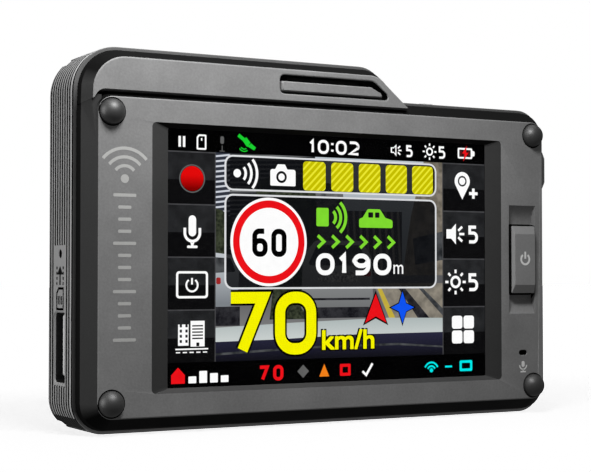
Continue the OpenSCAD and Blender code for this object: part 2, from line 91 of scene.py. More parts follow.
# Centre and radius of the raised part's right shoulder
HUMP_END = (7.0, ROOF_Z - 6.0, 6.0)
HUMP_FOOT_X = 16.2
BALL_R = 2.25
FIX_X = SCREW_HIGH.x - BALL_R
FIX_Z = SCREW_HIGH.z - BALL_R
BOSS_R = 3.55
CORNERS = [(sx, sz) for sx in (-1, 1) for sz in (-1, 1)]
BACK_FIX = (38.5, 24.6)
LENS_X, LENS_Z = (RING_LOW.x + RING_HIGH.x) / 2, (RING_LOW.z + RING_HIGH.z) / 2
LASER_X, LASER_Z = (LASER_LOW.x + LASER_HIGH.x) / 2, (LASER_LOW.z + LASER_HIGH.z) / 2
LASER_W, LASER_H = LASER_HIGH.x - LASER_LOW.x, LASER_HIGH.z - LASER_LOW.z

# Picture window
VIEW_X = -0.2
VIEW_W = 67.7
VIEW_H = 45.1
FRAME_W = 74.3
FRAME_H = 46.7
FRAME_D = 0.8

# Power key
KEY_X = (KEY_LOW.x + KEY_HIGH.x) / 2
KEY_Z = (KEY_LOW.z + KEY_HIGH.z) / 2
KEY_W = 5.6
KEY_H = 13.2
KEY_PLAY = 0.4
SCOOP_R = 5.7
SCOOP_D = -4.35

# Ribs and openings of the housing
RIB_START = 6.29
RIB_PITCH = 1.15
RIB_COUNT = 9
RIB_DEPTH = 0.42
RIB_FROM_X = 40.0
SLOT_D = (8.6, 13.7)
SLOT_Z = (-21.65, -9.55)
LABEL_D = (8.1, 13.8)
LABEL_Z = (-9.55, 2.2)
LABEL_SINK = 0.08
RESET_D, RESET_Z, RESET_R = 10.9, 0.7, 0.75


# ---------------------------------------------------------------- outlines

def arc(cx, cz, r, start, end, steps=10):
    """Points of an arc round (cx, cz), with its angles in degrees."""
    angles = [math.radians(start + (end - start) * k / steps) for k in range(steps + 1)]
    return [(cx + r * math.cos(a), cz + r * math.sin(a)) for a in angles]


def circle(cx, cz, r, steps=48):
    return arc(cx, cz, r, 0, 360, steps)[:-1]


def ellipse(cx, cz, rx, rz, steps=40):
    return [(cx + (x - cx) * rx / rz, z) for x, z in circle(cx, cz, rz, steps)]


def bar(x0, x1, z0, z1, r=0.0, steps=5):
    """A rectangle with rounded corners."""
    if r <= 0:
        return [(x1, z0), (x1, z1), (x0, z1), (x0, z0)]
    return (arc(x1 - r, z0 + r, r, -90, 0, steps) + arc(x1 - r, z1 - r, r, 0, 90, steps)
            + arc(x0 + r, z1 - r, r, 90, 180, steps) + arc(x0 + r, z0 + r, r, 180, 270, steps))


def grown(x0, x1, z0, z1, r, steps=5):
    """A rounded rectangle as an outline that grows on all sides."""
    return lambda grow: bar(x0 - grow, x1 + grow, z0 - grow, z1 + grow, r + grow, steps)


def corner_points(back, here, on, r, steps):
    """Points of an arc of radius r that rounds the corner at here."""
    to_back = (Vector(back) - Vector(here)).normalized()
    to_on = (Vector(on) - Vector(here)).normalized()
    half = to_back.angle(to_on) / 2
    if r <= 0 or half > math.radians(89):
        return [tuple(here)]
    reach = r / math.tan(half)
    centre = Vector(here) + (to_back + to_on).normalized() * (r / math.sin(half))
    first = Vector(here) + to_back * reach - centre
    last = Vector(here) + to_on * reach - centre
    sweep = first.angle(last)
    points = []
    for k in range(steps + 1):
        t = k / steps
        swing = first * math.sin((1 - t) * sweep) + last * math.sin(t * sweep)
        points.append(tuple(centre + swing / math.sin(sweep)))
    return points


def path(corners, steps=4):
    """An open line through (a, b) or (a, b, r) corners, the inner ones rounded to their radius r."""
    points = [tuple(corners[0][:2])]
    for back, here, on in zip(corners, corners[1:], corners[2:]):
        points += corner_points(back[:2], here[:2], on[:2], sum(here[2:]), steps)
    return points + [tuple(corners[-1][:2])]


def loop(corners, steps=5):
    """A closed outline through (x, z) or (x, z, r) corners, rounded to their radius r."""
    points = []
    for k, here in enumerate(corners):
        on = corners[(k + 1) % len(corners)]
        points += corner_points(corners[k - 1][:2], here[:2], on[:2], sum(here[2:]), steps)
    return points


def stroke(line, width):
    """A closed outline round an open line."""
    left, right = [], []
    for k, point in enumerate(line):
        here = Vector(point)
        back = (here - Vector(line[k - 1])).normalized() if k else None
        on = (Vector(line[k + 1]) - here).normalized() if k < len(line) - 1 else None
        along = ((back or on) + (on or back)).normalized()
        side = Vector((-along.y, along.x))
        spread = width / 2 / max(0.5, abs(side.dot(Vector((-(back or on).y, (back or on).x)))))
        left.append(tuple(here + side * spread))
        right.append(tuple(here - side * spread))
    return right + left[::-1]


def moved(outline, dx, dz, turn=0.0, size=1.0):
    """An outline turned about its own origin, then moved."""
    c, s = math.cos(math.radians(turn)) * size, math.sin(math.radians(turn)) * size
    return [(dx + x * c - z * s, dz + x * s + z * c) for x, z in outline]


main_face = grown(BORDER - HALF_W, HALF_W - BORDER, BORDER - HALF_H, HALF_H - BORDER, CORNER_R - BORDER, 8)
dome_outline = grown(-37, 39, -22, 22.5, 6, 8)


def hump_face(grow):
    """Flat face of the raised part."""
    top, low, left = ROOF_Z - RAISED_TOP, HALF_H - RAISED_FOOT, RAISED_LEFT - HALF_W
    foot = (HUMP_FOOT_X - 0.9 + grow * 0.7, low - grow * 0.3)
    tip = (left - grow * 0.75, low - 1.6 - grow * 0.5)
    bend = (left + 1.2, low - grow * 0.3)
    shoulder = [(left + 6 + a * (6 + grow * 0.75), top - 6 + b * (6 + grow)) for a,
                b in arc(0, 0, 1, 90, 170)]
    return ([foot] + arc(HUMP_END[0], top - 4.2, 4.2 + grow, 42, 90) + shoulder + [tip]
            + corner_points(tip, bend, foot, 2.0, 8))


# Places along the left side and the roof where the ribs stop or start
RIB_STOPS = sorted([LABEL_Z[1] + 0.15, LABEL_Z[1], LABEL_Z[0], SLOT_Z[0] - 0.5, SLOT_Z[0] - 0.7],
                   reverse=True)
ROOF_STOPS = (0.4 - RIB_FROM_X, -0.2 - RIB_FROM_X)


def body_outline(inset):
    """Outline of the whole body, with extra points where the ribs stop."""
    x, z = HALF_W - CORNER_R, HALF_H - CORNER_R
    return (arc(x, -z, CORNER_R - inset, -90, 0, 12)
            + arc(x, z, CORNER_R - inset, 0, 90, 12)
            + [(HUMP_FOOT_X - inset * 0.45, HALF_H - inset)]
            + arc(*HUMP_END[:2], HUMP_END[2] - inset, 42, 90, 6)
            + [(stop, ROOF_Z - inset) for stop in ROOF_STOPS]
            + arc(ROOF_R - HALF_W, ROOF_Z - ROOF_R, ROOF_R - inset, 90, 180, 16)
            + [(inset - HALF_W, stop) for stop in RIB_STOPS]
            + arc(-x, -z, CORNER_R - inset, 180, 270, 12))


def sound_outline(grow):
    """Outline of the slot in the raised part."""
    x0, x1, z0, z1 = -12.3 - grow, 10.9 + grow * 1.2, 29.8 - grow, 33.2 + grow
    return loop([(x1, z0, 0.5 + grow), (x1 - 0.4, z0 + 1.2, 0.8 + grow), (x1 - 3.4, z1, 2.2 + grow),
                 (x0, z1, 0.9 + grow), (x0, z0, 0.9 + grow)])


def bar_outline(grow):
    """Outline of the bar in that slot."""
    x0, x1, z0, z1 = -11.85 - grow, 9.7 + grow, 30.25 - grow, 32.1 + grow
    return loop([(x1, z0, 0.15), (x1 - 0.3, z0 + 0.6, 0.2), (x1 - 2.4, z1, 0.9), (x0, z1, 0.35),
                 (x0, z0, 0.35)])


# ---------------------------------------------------------------- meshes

def linked(name, data):
    """A new object in the scene that shows data."""
    obj = bpy.data.objects.new(name, data)
    bpy.context.scene.collection.objects.link(obj)
    return obj


def edit(mesh, change):
    """Runs change(work) on the mesh, with work as its bmesh."""
    work = bmesh.new()
    work.from_mesh(mesh)
    change(work)
    work.to_mesh(mesh)
    work.free()


def face_outwards(work):
    bmesh.ops.recalc_face_normals(work, faces=work.faces)


def mesh_object(name, verts, faces):
    """An object from points and faces, without double or degenerate ones."""
    mesh = bpy.data.meshes.new(name)
    mesh.from_pydata(verts, [], faces)

    def clean(work):
        bmesh.ops.remove_doubles(work, verts=work.verts, dist=1e-5)
        bmesh.ops.dissolve_degenerate(work, edges=work.edges, dist=1e-6)
        face_outwards(work)

    edit(mesh, clean)
    return linked(name, mesh)


def skin(name, rings, closed=False):
    """A skin over rings of (x, d, z) points that all have the same count."""
    n = len(rings[0])
    verts = [point for ring in rings for point in ring]
    faces = []
    for k in range(len(rings) if closed else len(rings) - 1):
        a, b = k * n, (k + 1) % len(rings) * n
        faces += [(a + i, a + (i + 1) % n, b + (i + 1) % n, b + i) for i in range(n)]
    if not closed:
        faces += [tuple(range(n)), tuple(range((len(rings) - 1) * n, len(rings) * n))]
    return mesh_object(name, verts, faces)


def slab(name, outline, levels):
    """Stacks outline(grow) at the depth of each (grow, d) level."""
    return skin(name, [[(x, d, z) for x, z in outline(grow)] for grow, d in levels])


def plate(name, points, d0, d1):
    """One outline between two depths."""
    return slab(name, lambda grow: points, [(0, d0), (0, d1)])


def block(name, low, high, r=0.0):
    """A box between two corners, its edges along d rounded."""
    return plate(name, bar(low[0], high[0], low[2], high[2], r), low[1], high[1])


def turned(name, profile, x=0.0, z=0.0, closed=False, steps=64):
    """A turned shape about an axis along d, from (radius, d) points."""
    rings = [[(x + px, d, z + pz) for px, pz in circle(0, 0, max(r, 1e-7), steps)] for r, d in profile]
    return skin(name, rings, closed)


def settle(obj):
    """Applies every modifier of an object."""
    graph = bpy.context.evaluated_depsgraph_get()
    mesh = bpy.data.meshes.new_from_object(obj.evaluated_get(graph))
    old = obj.data
    obj.modifiers.clear()
    obj.data = mesh
    bpy.data.meshes.remove(old)
    return obj


def split_ngons(work):
    ngons = [face for face in work.faces if len(face.verts) > 4]
    bmesh.ops.triangulate(work, faces=ngons, ngon_method="EAR_CLIP")


def combine(target, tools, operation="DIFFERENCE"):
    """Cuts the tools out of a target, or unites them with it, and removes them."""
    for tool in tools:
        change = target.modifiers.new("combine", "BOOLEAN")
        change.operation = operation
        change.solver = "MANIFOLD"
        change.object = tool
    settle(target)
    for tool in tools:
        bpy.data.objects.remove(tool)
    edit(target.data, split_ngons)
    return target


def joined(name, objects):
    """One object that holds the meshes of several."""
    work = bmesh.new()
    for obj in objects:
        work.from_mesh(obj.data)
        bpy.data.objects.remove(obj)
    mesh = bpy.data.meshes.new(name)
    work.to_mesh(mesh)
    work.free()
    return linked(name, mesh)


def soften(obj, width, steps=3, angle=25):
    """Rounds the edges of a simple shape."""
    round_edges = obj.modifiers.new("soften", "BEVEL")
    round_edges.width = width
    round_edges.segments = steps
    round_edges.limit_method = "ANGLE"
    round_edges.angle_limit = math.radians(angle)
    return settle(obj)


def piece(obj, body, materials, replaces=(), rule=None, angle=32, weighted=True):
    """Finishes a piece: materials, shading, its place in the row frame and its body.

    rule(centre, normal) gives the number of a face's material.
    """
    obj.data.materials.clear()
    for material in materials:
        obj.data.materials.append(material)
    if rule:
        for face in obj.data.polygons:
            face.material_index = rule(face.center, face.normal)
    obj.data.shade_smooth()
    obj.data.set_sharp_from_angle(angle=math.radians(angle))
    if weighted:
        obj.modifiers.new("normals", "WEIGHTED_NORMAL").keep_sharp = True
    settle(obj)
    obj.data.transform(TO_ROW)
    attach(obj, body)
    if replaces:
        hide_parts(*replaces)
    return obj


# ---------------------------------------------------------------- materials

def shader(name, colour, roughness, metallic=0.0, specular=0.5):
    """A new material, its node tree, its Principled shader and coordinates in millimetres."""
    material = bpy.data.materials.new(name)
    material.use_nodes = True
    tree = material.node_tree
    main = tree.nodes["Principled BSDF"]
    main.inputs["Base Color"].default_value = (*colour, 1)
    main.inputs["Roughness"].default_value = roughness
    main.inputs["Metallic"].default_value = metallic
    main.inputs["Specular IOR Level"].default_value = specular
    coords = add(tree, "Mapping", Vector=add(tree, "TexCoord").outputs["Object"], Scale=(1 / MM,) * 3)
    return material, tree, main, coords.outputs[0]


def add(tree, kind, settings=None, **inputs):
    """A new node. Inputs are named, with _ for a space, or numbered i0, i1. They take values or sockets."""
    made = tree.nodes.new("ShaderNode" + kind)
    for key, value in (settings or {}).items():
        setattr(made, key, value)
    for key, value in inputs.items():
        numbered = key[0] == "i" and key[1:].isdigit()
        socket = made.inputs[int(key[1:]) if numbered else key.replace("_", " ")]
        if isinstance(value, bpy.types.NodeSocket):
            tree.links.new(value, socket)
        else:
            socket.default_value = value
    return made


def noise(tree, coords, size, detail=3.0):
    """Noise whose features are about size millimetres."""
    return add(tree, "TexNoise", Vector=coords, Scale=1 / size, Detail=detail).outputs["Fac"]


def spread(tree, value, low, high, start=0.3, end=0.7):
    """Maps a value to low ... high."""
    made = add(tree, "MapRange", Value=value, From_Min=start, From_Max=end, To_Min=low, To_Max=high)
    return made.outputs["Result"]


def mix(tree, factor, first, second):
    """Mixes two colours, given as values or sockets."""
    made = tree.nodes.new("ShaderNodeMix")
    made.data_type = "RGBA"
    for socket, value in zip((made.inputs[0], made.inputs[6], made.inputs[7]), (factor, first, second)):
        if isinstance(value, bpy.types.NodeSocket):
            tree.links.new(value, socket)
        elif isinstance(value, float):
            socket.default_value = value
        else:
            socket.default_value = (*value, 1)
    return made.outputs[2]


def scaled(colour, amount):
    """A colour made lighter or darker."""
    return tuple(channel * amount for channel in colour)


def finish_surface(tree, main, coords, colour, grain, bump, mottle, rough):
    """Mottled colour, uneven roughness and fine grain, with colour as a value or a socket."""
    patches = noise(tree, coords, 7)
    speckle = noise(tree, coords, grain * 1.3, 2)
    first = mix(tree, spread(tree, patches, 0.0, 1.0), (1 - mottle,) * 3, (1 + mottle,) * 3)
    second = mix(tree, spread(tree, speckle, 0.0, 1.0), (1 - mottle * 0.8,) * 3, (1 + mottle * 0.8,) * 3)
    value = add(tree, "MixRGB", {"blend_type": "MULTIPLY"}, Fac=1.0, Color1=first, Color2=second)
    total = add(tree, "MixRGB", {"blend_type": "MULTIPLY"}, Fac=1.0, Color1=value.outputs[0])
    if isinstance(colour, bpy.types.NodeSocket):
        tree.links.new(colour, total.inputs["Color2"])
    else:
        total.inputs["Color2"].default_value = (*colour, 1)
    tree.links.new(total.outputs[0], main.inputs["Base Color"])
    tree.links.new(spread(tree, patches, rough * 0.92, rough * 1.08), main.inputs["Roughness"])
    raised = add(tree, "Bump", Strength=0.6, Distance=bump * MM, Height=noise(tree, coords, grain, 2))
    tree.links.new(raised.outputs[0], main.inputs["Normal"])


def plastic(name, colour, rough=0.5, grain=0.28, bump=0.02, mottle=0.05, specular=0.4):
    """Moulded plastic with a fine spark-eroded grain."""
    material, tree, main, coords = shader(name, colour, rough, specular=specular)
    finish_surface(tree, main, coords, colour, grain, bump, mottle, rough)
    return material


def facing_shaded_plastic(name, side, up, down, rough, specular):
    """Border plastic with painted light and shade: its tone depends on whether a face is turned sideways, up
    or down.
    """
    material, tree, main, coords = shader(name, side, rough, specular=specular)
    normal = add(tree, "NewGeometry").outputs["Normal"]
    upward = add(tree, "SeparateXYZ", Vector=normal).outputs["Z"]
    rising = spread(tree, upward, 0.0, 1.0, 0.15, 0.5)
    falling = spread(tree, upward, 1.0, 0.0, -0.5, -0.15)
    # painted shade and light: faces turned up or down take their own tones in place of the light that reaches
    # them
    tone = mix(tree, falling, mix(tree, rising, side, up), down)
    finish_surface(tree, main, coords, tone, 0.3, 0.015, 0.05, rough)
    return material


def rim_painted_light(name, middle, top, foot):
    """Rim plastic with painted light: lighter along the top and the foot than down the sides, which keep a
    painted shade.
    """
    material, tree, main, coords = shader(name, middle, 0.38, specular=0.12)
    height = add(tree, "SeparateXYZ", Vector=coords).outputs["Z"]
    base = CENTRE_Z / MM
    upper = mix(tree, spread(tree, height, 0.0, 1.0, base + HALF_H - 5, base + HALF_H), middle, top)
    tone = mix(tree, spread(tree, height, 1.0, 0.0, base - HALF_H, base - HALF_H + 4), upper, foot)
    finish_surface(tree, main, coords, tone, 0.3, 0.01, 0.06, 0.38)
    return material


def metal(name, colour, rough=0.3, grain=0.5, bump=0.004, stretch=(1, 1, 1), mottle=0.12):
    """Metal with brushing or casting grain."""
    material, tree, main, coords = shader(name, colour, rough, metallic=1.0)
    pulled = add(tree, "Mapping", Vector=coords, Scale=stretch).outputs[0]
    finish_surface(tree, main, pulled, colour, grain, bump, mottle, rough)
    return material


def circuit(name):
    """Solder mask over copper tracks, with tinned pads."""
    green, track, tin = (0.006, 0.06, 0.022), (0.012, 0.13, 0.045), (0.55, 0.55, 0.5)
    material, tree, main, coords = shader(name, green, 0.35)
    cells = add(tree, "TexVoronoi", {"distance": "MANHATTAN"}, Vector=coords, Scale=0.35)
    lines = add(tree, "TexBrick", Vector=coords, Scale=0.5, Mortar_Size=0.03)
    lines.inputs["Color1"].default_value = (*green, 1)
    lines.inputs["Color2"].default_value = (*scaled(green, 0.8), 1)
    lines.inputs["Mortar"].default_value = (*track, 1)
    pads = spread(tree, cells.outputs["Distance"], 1.0, 0.0, 0.12, 0.16)
    tree.links.new(mix(tree, pads, lines.outputs["Color"], tin), main.inputs["Base Color"])
    tree.links.new(spread(tree, noise(tree, coords, 2), 0.3, 0.45), main.inputs["Roughness"])
    height = add(tree, "Bump", Strength=0.5, Distance=0.02 * MM, Height=pads)
    tree.links.new(height.outputs[0], main.inputs["Normal"])
    return material


def lit(name, paint):
    """A lit area of the picture, whose colour is the socket that paint(tree, coords) gives."""
    material, tree, main, coords = shader(name, (0, 0, 0), 0.4, specular=0.0)
    tree.links.new(paint(tree, coords), main.inputs["Emission Color"])
    main.inputs["Emission Strength"].default_value = 1.0
    return material


def glow(name, colour, other=None, size=1.5, uneven=0.08):
    """A lit area, a little uneven, or mottled with a second colour."""
    def paint(tree, coords):
        spots = spread(tree, noise(tree, coords, size), 0.0, 1.0, 0.35, 0.65)
        return mix(tree, spots, scaled(colour, 1 - uneven), other or colour)

    return lit(name, paint)


def striped_glow(name, colour, stripe, pitch, turn):
    """A lit area with stripes, turned by so many degrees."""
    def paint(tree, coords):
        flat = add(tree, "Mapping", Vector=coords, Rotation=(0, math.radians(turn), 0)).outputs[0]
        wave = add(tree, "TexWave", {"bands_direction": "X"}, Vector=flat, Scale=0.314 / pitch)
        return mix(tree, spread(tree, wave.outputs["Fac"], 0.0, 1.0, 0.62, 0.78), colour, stripe)

    return lit(name, paint)


def shaded_glow(name, top, bottom, low, high):
    """A lit area whose colour runs from bottom at height low to top at height high."""
    def paint(tree, coords):
        height = add(tree, "SeparateXYZ", Vector=coords).outputs["Z"]
        base = CENTRE_Z / MM
        return mix(tree, spread(tree, height, 0.0, 1.0, base + low, base + high), bottom, top)

    return lit(name, paint)


FACE = plastic("face_grey", (0.2,) * 3, 0.5, grain=0.3, bump=0.022, mottle=0.09, specular=0.35)
# dark border band in its own tone down the sides, with painted shade making faces turned up or down nearly
# black
SLOPE = facing_shaded_plastic("border_painted_shade", (0.038,) * 3, (0.004,) * 3, (0.002,) * 3, 0.5, 0.05)
# painted shade: near black for recess walls, seams, rib grooves and the sides of keys, where shade falls
SHADE_BLACK = plastic("painted_shade_black", (0.004,) * 3, 0.6, specular=0.05)
# rim ledge: painted light along the top and the foot, painted shade down the sides
RIM = rim_painted_light("rim_grey", (0.035,) * 3, (0.1,) * 3, (0.45,) * 3)
# dark walls of the window recess, with painted light on faces turned up and painted shade on faces turned
# down
WINDOW_FRAME = facing_shaded_plastic("window_frame_painted_shade", (0.04,) * 3, (0.05,) * 3, (0.004,) * 3, 0.5, 0.1)
HOUSING = plastic("housing_grey", (0.38,) * 3, 0.42, grain=0.35, bump=0.02, mottle=0.06, specular=0.5)
# painted highlight: lighter grey on the housing's front lip, where its edge catches light
LIP = plastic("edge_painted_highlight", (0.5,) * 3, 0.35, bump=0.005, specular=0.5)
# dark plastic: the back cover's own colour; on the card slot walls and inside the housing it stands for
# painted shade
DARK = plastic("dark_plastic", (0.02,) * 3, 0.55, specular=0.3)
BALL = plastic("ball_black", (0.022,) * 3, 0.5, grain=0.4, bump=0.0006, specular=0.9)
KEY = plastic("key_grey", (0.225,) * 3, 0.5, grain=0.28, bump=0.018, specular=0.35)
PRINT_LIGHT = plastic("print_light_grey", (0.75, 0.75, 0.74), 0.5, grain=0.15, bump=0.005, mottle=0.04)
PRINT = plastic("print_grey", (0.42, 0.42, 0.41), 0.55, grain=0.15, bump=0.005, mottle=0.04)
PRINT_DARK = plastic("print_black", (0.004,) * 3, 0.6, grain=0.15, bump=0.005, specular=0.05)


# ---------------------------------------------------------------- front cover

def flared(outline, d0, d1, r):
    """Levels of a cutter that leaves a rounded edge of radius r at depth d0."""
    levels = [(r, d0 - 1)]
    for k in range(5):
        turn = math.radians(90 * k / 4)
        levels.append((r * (1 - math.sin(turn)), d0 + r * (1 - math.cos(turn))))
    return slab("cutter", outline, levels + [(0, d1)])


def blend_wedge():
    """Fairs the left end of the raised part into the border below it."""
    main_x, raised_x = BORDER - HALF_W, RAISED_LEFT - HALF_W
    rings = []
    for d in (0.55, SLOPE_END):
        low_x, high_x = main_x - 0.7 * d + 0.03, raised_x - 0.375 * d + 0.02
        rings.append([(high_x, d, 27.6), (low_x, d, 20.0), (low_x + 1, d, 20.0), (low_x + 1, d, 27.6)])
    return skin("part", rings)


def front_shell():
    """Front cover: the face with its sloped border, raised part, rim and openings."""
    border, raised = [path([(-back, 0, 0), (0, 0, 0.3), (out, SLOPE_END, 0.3), (foot, RIM_D, 0),
                            (foot, COVER_END - 0.05, 0)])
                      for back, out, foot in ((2, 2.1, 2.4), (1.7, 1.5, 1.75))]
    rim = path([(-0.6, RIM_D, 0), (0, RIM_D, 0.15), (0, COVER_END - 0.12, 0.05), (-0.4, COVER_END, 0)])
    shell = slab("front_shell", main_face, border[1:])
    combine(shell, [slab("part", hump_face, raised[1:]),
                    slab("part", lambda grow: body_outline(-grow), rim), blend_wedge()], "UNION")
    hollow = slab("cutter", lambda grow: body_outline(-grow), [(-2.3, COVER_WALL), (-2.3, COVER_END + 1)])
    bosses = [plate("boss", circle(sx * FIX_X, sz * FIX_Z, BOSS_R), 0, COVER_END + 2) for sx, sz in CORNERS]
    bosses += [plate("boss", circle(KEY_X, z, 1.5), 0, COVER_END + 0.2) for z in (11.8, -12.6)]
    combine(hollow, bosses)

    def window(grow):
        w, h = VIEW_W / 2 + grow * 3.3, VIEW_H / 2 + grow * 0.8
        return bar(VIEW_X - w, VIEW_X + w, -h, h, 0.3 + grow * 0.5)

    half_w, half_h = KEY_W / 2 + KEY_PLAY, KEY_H / 2 + KEY_PLAY
    key_hole = grown(KEY_X - half_w, KEY_X + half_w, KEY_Z - half_h, KEY_Z + half_h, 0.3)
    cutters = [hollow, slab("cutter", window, [(1.02, -0.05), (1, 0), (0, FRAME_D), (0, 3)]),
               block("cutter", (-38.8, FRAME_D + 0.1, -24.9), (37.9, 3, 24.9)), flared(key_hole, 0, 3, 0.12)]
    for s in (-1, 1):
        scoop = plate("cutter", circle(0, 0, SCOOP_R, 96), -half_w, half_w)
        place = Matrix.Translation((KEY_X, SCOOP_D, KEY_Z + s * half_h))
        scoop.data.transform(place @ Matrix.Rotation(math.radians(90), 4, "Z"))
        cutters.append(scoop)
    cutters += [flared(grown(41.25, 43.15, -18.75, -17.75, 0.49), 0, 3, 0.1),
                flared(sound_outline, 0, 1.3, 0.3),
                block("cutter", (-10.3, 0, 32.4), (5.9, 3, 33.0))]
    mouth, bore = BALL_R + 0.24, BALL_R + 0.15
    seat = path([(mouth, -1, 0), (mouth, 0, 0.08), (bore, 0.1, 0), (bore, 1.2, 0), (1.35, 1.2, 0),
                 (1.35, COVER_END + 1, 0)])
    cutters += [turned("cutter", seat, sx * FIX_X, sz * FIX_Z) for sx, sz in CORNERS]
    combine(shell, cutters)
    grey, border_painted_shade, black, rim_grey, frame_dark = range(5)

    # Painted shade: the rim's side and back at the seam, the wall behind the border, the ball seats, the key
    # hole, the sound slot and the microphone hole get the near-black shade material; the rim ledge gets the
    # rim's painted light.
    def rule(centre, normal):
        x, d, z = centre
        if d > RIM_D - 0.02 and (abs(x) > HALF_W - 2 or abs(z) > HALF_H - 2):
            return black if d > RIM_D + 0.15 or normal.y > 0.1 else rim_grey
        if abs(x - VIEW_X) < FRAME_W / 2 + 0.1 and abs(z) < FRAME_H / 2 + 0.1 and d > 0.03:
            return frame_dark
        in_sound_slot = -12.5 < x < 11.3 and 29.5 < z < 33.5 and d > 0.25
        in_seat = min(math.hypot(abs(x) - FIX_X, z - sz * FIX_Z)
                      for sz in (-1, 1)) < BALL_R + 0.2 and d > 0.06
        if in_sound_slot or in_seat:
            return black
        if abs(x - KEY_X) < half_w + 0.2 and abs(z - KEY_Z) < half_h + 4:
            return black if d > 1.37 or (abs(normal.x) > 0.7 and d > 0.9) else grey
        if abs(x - 42.2) < 1.2 and abs(z + 18.25) < 0.8 and d > 0.1:
            return black
        under_raised = 27.4 < z < 28.9 and x < HUMP_FOOT_X and normal.z < -0.3 and d < 1.2
        if d < 0.22 or abs(normal.y) > 0.98 and d < 0.5 or under_raised:
            return grey
        return border_painted_shade if d < SLOPE_END + 0.15 else black

    return piece(shell, "housing", [FACE, SLOPE, SHADE_BLACK, RIM, WINDOW_FRAME], ["front_cover"],
                 rule)


def sound_bar():
    """Bar in the slot of the raised part."""
    levels = [(-0.22, 0.15), (0, 0.4), (0.1, 1.28)]
    obj = soften(slab("sound_bar", bar_outline, levels), 0.06, 2, 20)
    return piece(obj, "housing", [FACE], ["speaker_bar"])


def ball_screws():
    """Corner screws: ball heads, cut flat behind, on ridged shanks."""
    ball_d = SCREW_LOW.y + BALL_R
    last = 180 - math.degrees(math.asin(2.05 / BALL_R))
    turns = [math.radians(a) for a in [2] + [180 * k / 32 for k in range(1, 33)] if a < last]
    head = [(BALL_R * math.sin(a), ball_d - BALL_R * math.cos(a)) for a in turns]
    shank = [(2.1, ball_d + 0.85), (1.2, ball_d + 0.9)]
    thread = [(1.2 - 0.14 * (k % 2), 5.4 + 0.3 * k) for k in range(26)]
    profile = head + shank + thread + [(0.7, SCREW_HIGH.y), (0, SCREW_HIGH.y)]
    screws = [turned("screw", profile, sx * FIX_X, sz * FIX_Z, steps=48) for sx, sz in CORNERS]
    return piece(joined("ball_screws", screws), "housing", [BALL], ["corner_screws"], angle=40,
                 weighted=False)


def power_key():
    """Power key with sloped ends, its flange, and the sign on it."""
    low_d, high_d = KEY_LOW.y, KEY_HIGH.y

    def box_ring(w, h, d):
        outline = bar(KEY_X - w / 2, KEY_X + w / 2, KEY_Z - h / 2, KEY_Z + h / 2, 0.15, 2)
        return [(x, d, z) for x, z in outline]

    rings = [box_ring(KEY_W - 0.7, KEY_H - 3.2, low_d - 0.1), box_ring(KEY_W, KEY_H, low_d + 0.6),
             box_ring(KEY_W, KEY_H, high_d - 0.8)]
    cap = soften(skin("power_key_cap", rings), 0.08, 2, 15)
    flange = block("part", (KEY_LOW.x, high_d - 0.75, KEY_LOW.z), (KEY_HIGH.x, high_d, KEY_HIGH.z), 0.3)
    cap = joined("power_key_cap", [cap, flange])

    # painted shade: the key's sides and its flange behind take the near-black shade material
    def rule(centre, normal):
        return int(centre.y > low_d + 0.9 or (abs(normal.x) > 0.7 and centre.y > low_d + 0.65))

    piece(cap, "power_button", [KEY, SHADE_BLACK], ["power_key"], rule)
    ring = arc(0, 0, 1.0, 125, 415, 24)
    shapes = [stroke(ring, 0.42), stroke([(0, 0.1), (0, 1.5)], 0.42)]
    symbol = [moved(shape, KEY_X, KEY_Z + 0.05) for shape in shapes]
    marks = joined("power_key_symbol", [plate("mark", shape, low_d - 0.12, low_d - 0.05) for shape in symbol])
    return piece(marks, "power_button", [PRINT_LIGHT])


def face_marks():
    """Radar arcs over a row of scale strokes left of the display, and a microphone sign right of it."""
    x, z = -42.4, 13.4
    shapes = [circle(x, z, 0.75, 24)] + [stroke(arc(x, z, r, 40, 140, 16), 0.55) for r in (2.2, 3.7, 5.2)]
    for k in range(13):
        half, level = 1.2 if k % 4 else 2.1, 10.6 - k * 2.05
        shapes.append(bar(x - half, x + half, level - 0.28, level + 0.28, 0.2, 3))
    x, z = 42.2, -20.9
    shapes += [bar(x - 0.38, x + 0.38, z - 0.2, z + 1.0, 0.37, 4), stroke(arc(x, z + 0.2, 0.85, 180, 360, 12),
            0.27),
               bar(x - 0.14, x + 0.14, z - 1.0, z - 0.6), bar(x - 0.65, x + 0.65, z - 1.25, z - 0.98)]
    obj = joined("face_marks", [plate("mark", shape, -0.015, 0.03) for shape in shapes])
    return piece(obj, "housing", [PRINT, PRINT_LIGHT],
                 rule=lambda centre, normal: int(centre.x > 0))


# ---------------------------------------------------------------- ribbed housing

def rib_level(x, d, z):
    """How far the surface is sunk at this place: 1 where ribs may run, or the label's flat."""
    on_left = x < -HALF_W + 0.6
    if on_left and LABEL_Z[0] - 0.01 <= z <= LABEL_Z[1] + 0.01 and LABEL_D[0] < d < LABEL_D[1]:
        return None
    if on_left and SLOT_Z[0] - 0.51 <= z < LABEL_Z[0] and SLOT_D[0] - 0.5 < d < SLOT_D[1] + 0.5:
        return None
    return 1 if abs(x) > RIB_FROM_X else 0


def housing_levels():
    """(depth, groove amount) pairs from the front lip to the rear edge."""
    shape = [(-0.30, 0.0), (-0.22, 0.5), (-0.13, 0.95), (0.0, 1.0), (0.13, 0.95), (0.22, 0.5), (0.30, 0.0)]
    levels = []
    for k in range(RIB_COUNT):
        centre = RIB_START + k * RIB_PITCH
        levels += [(centre + offset, amount) for offset, amount in shape]
    return levels


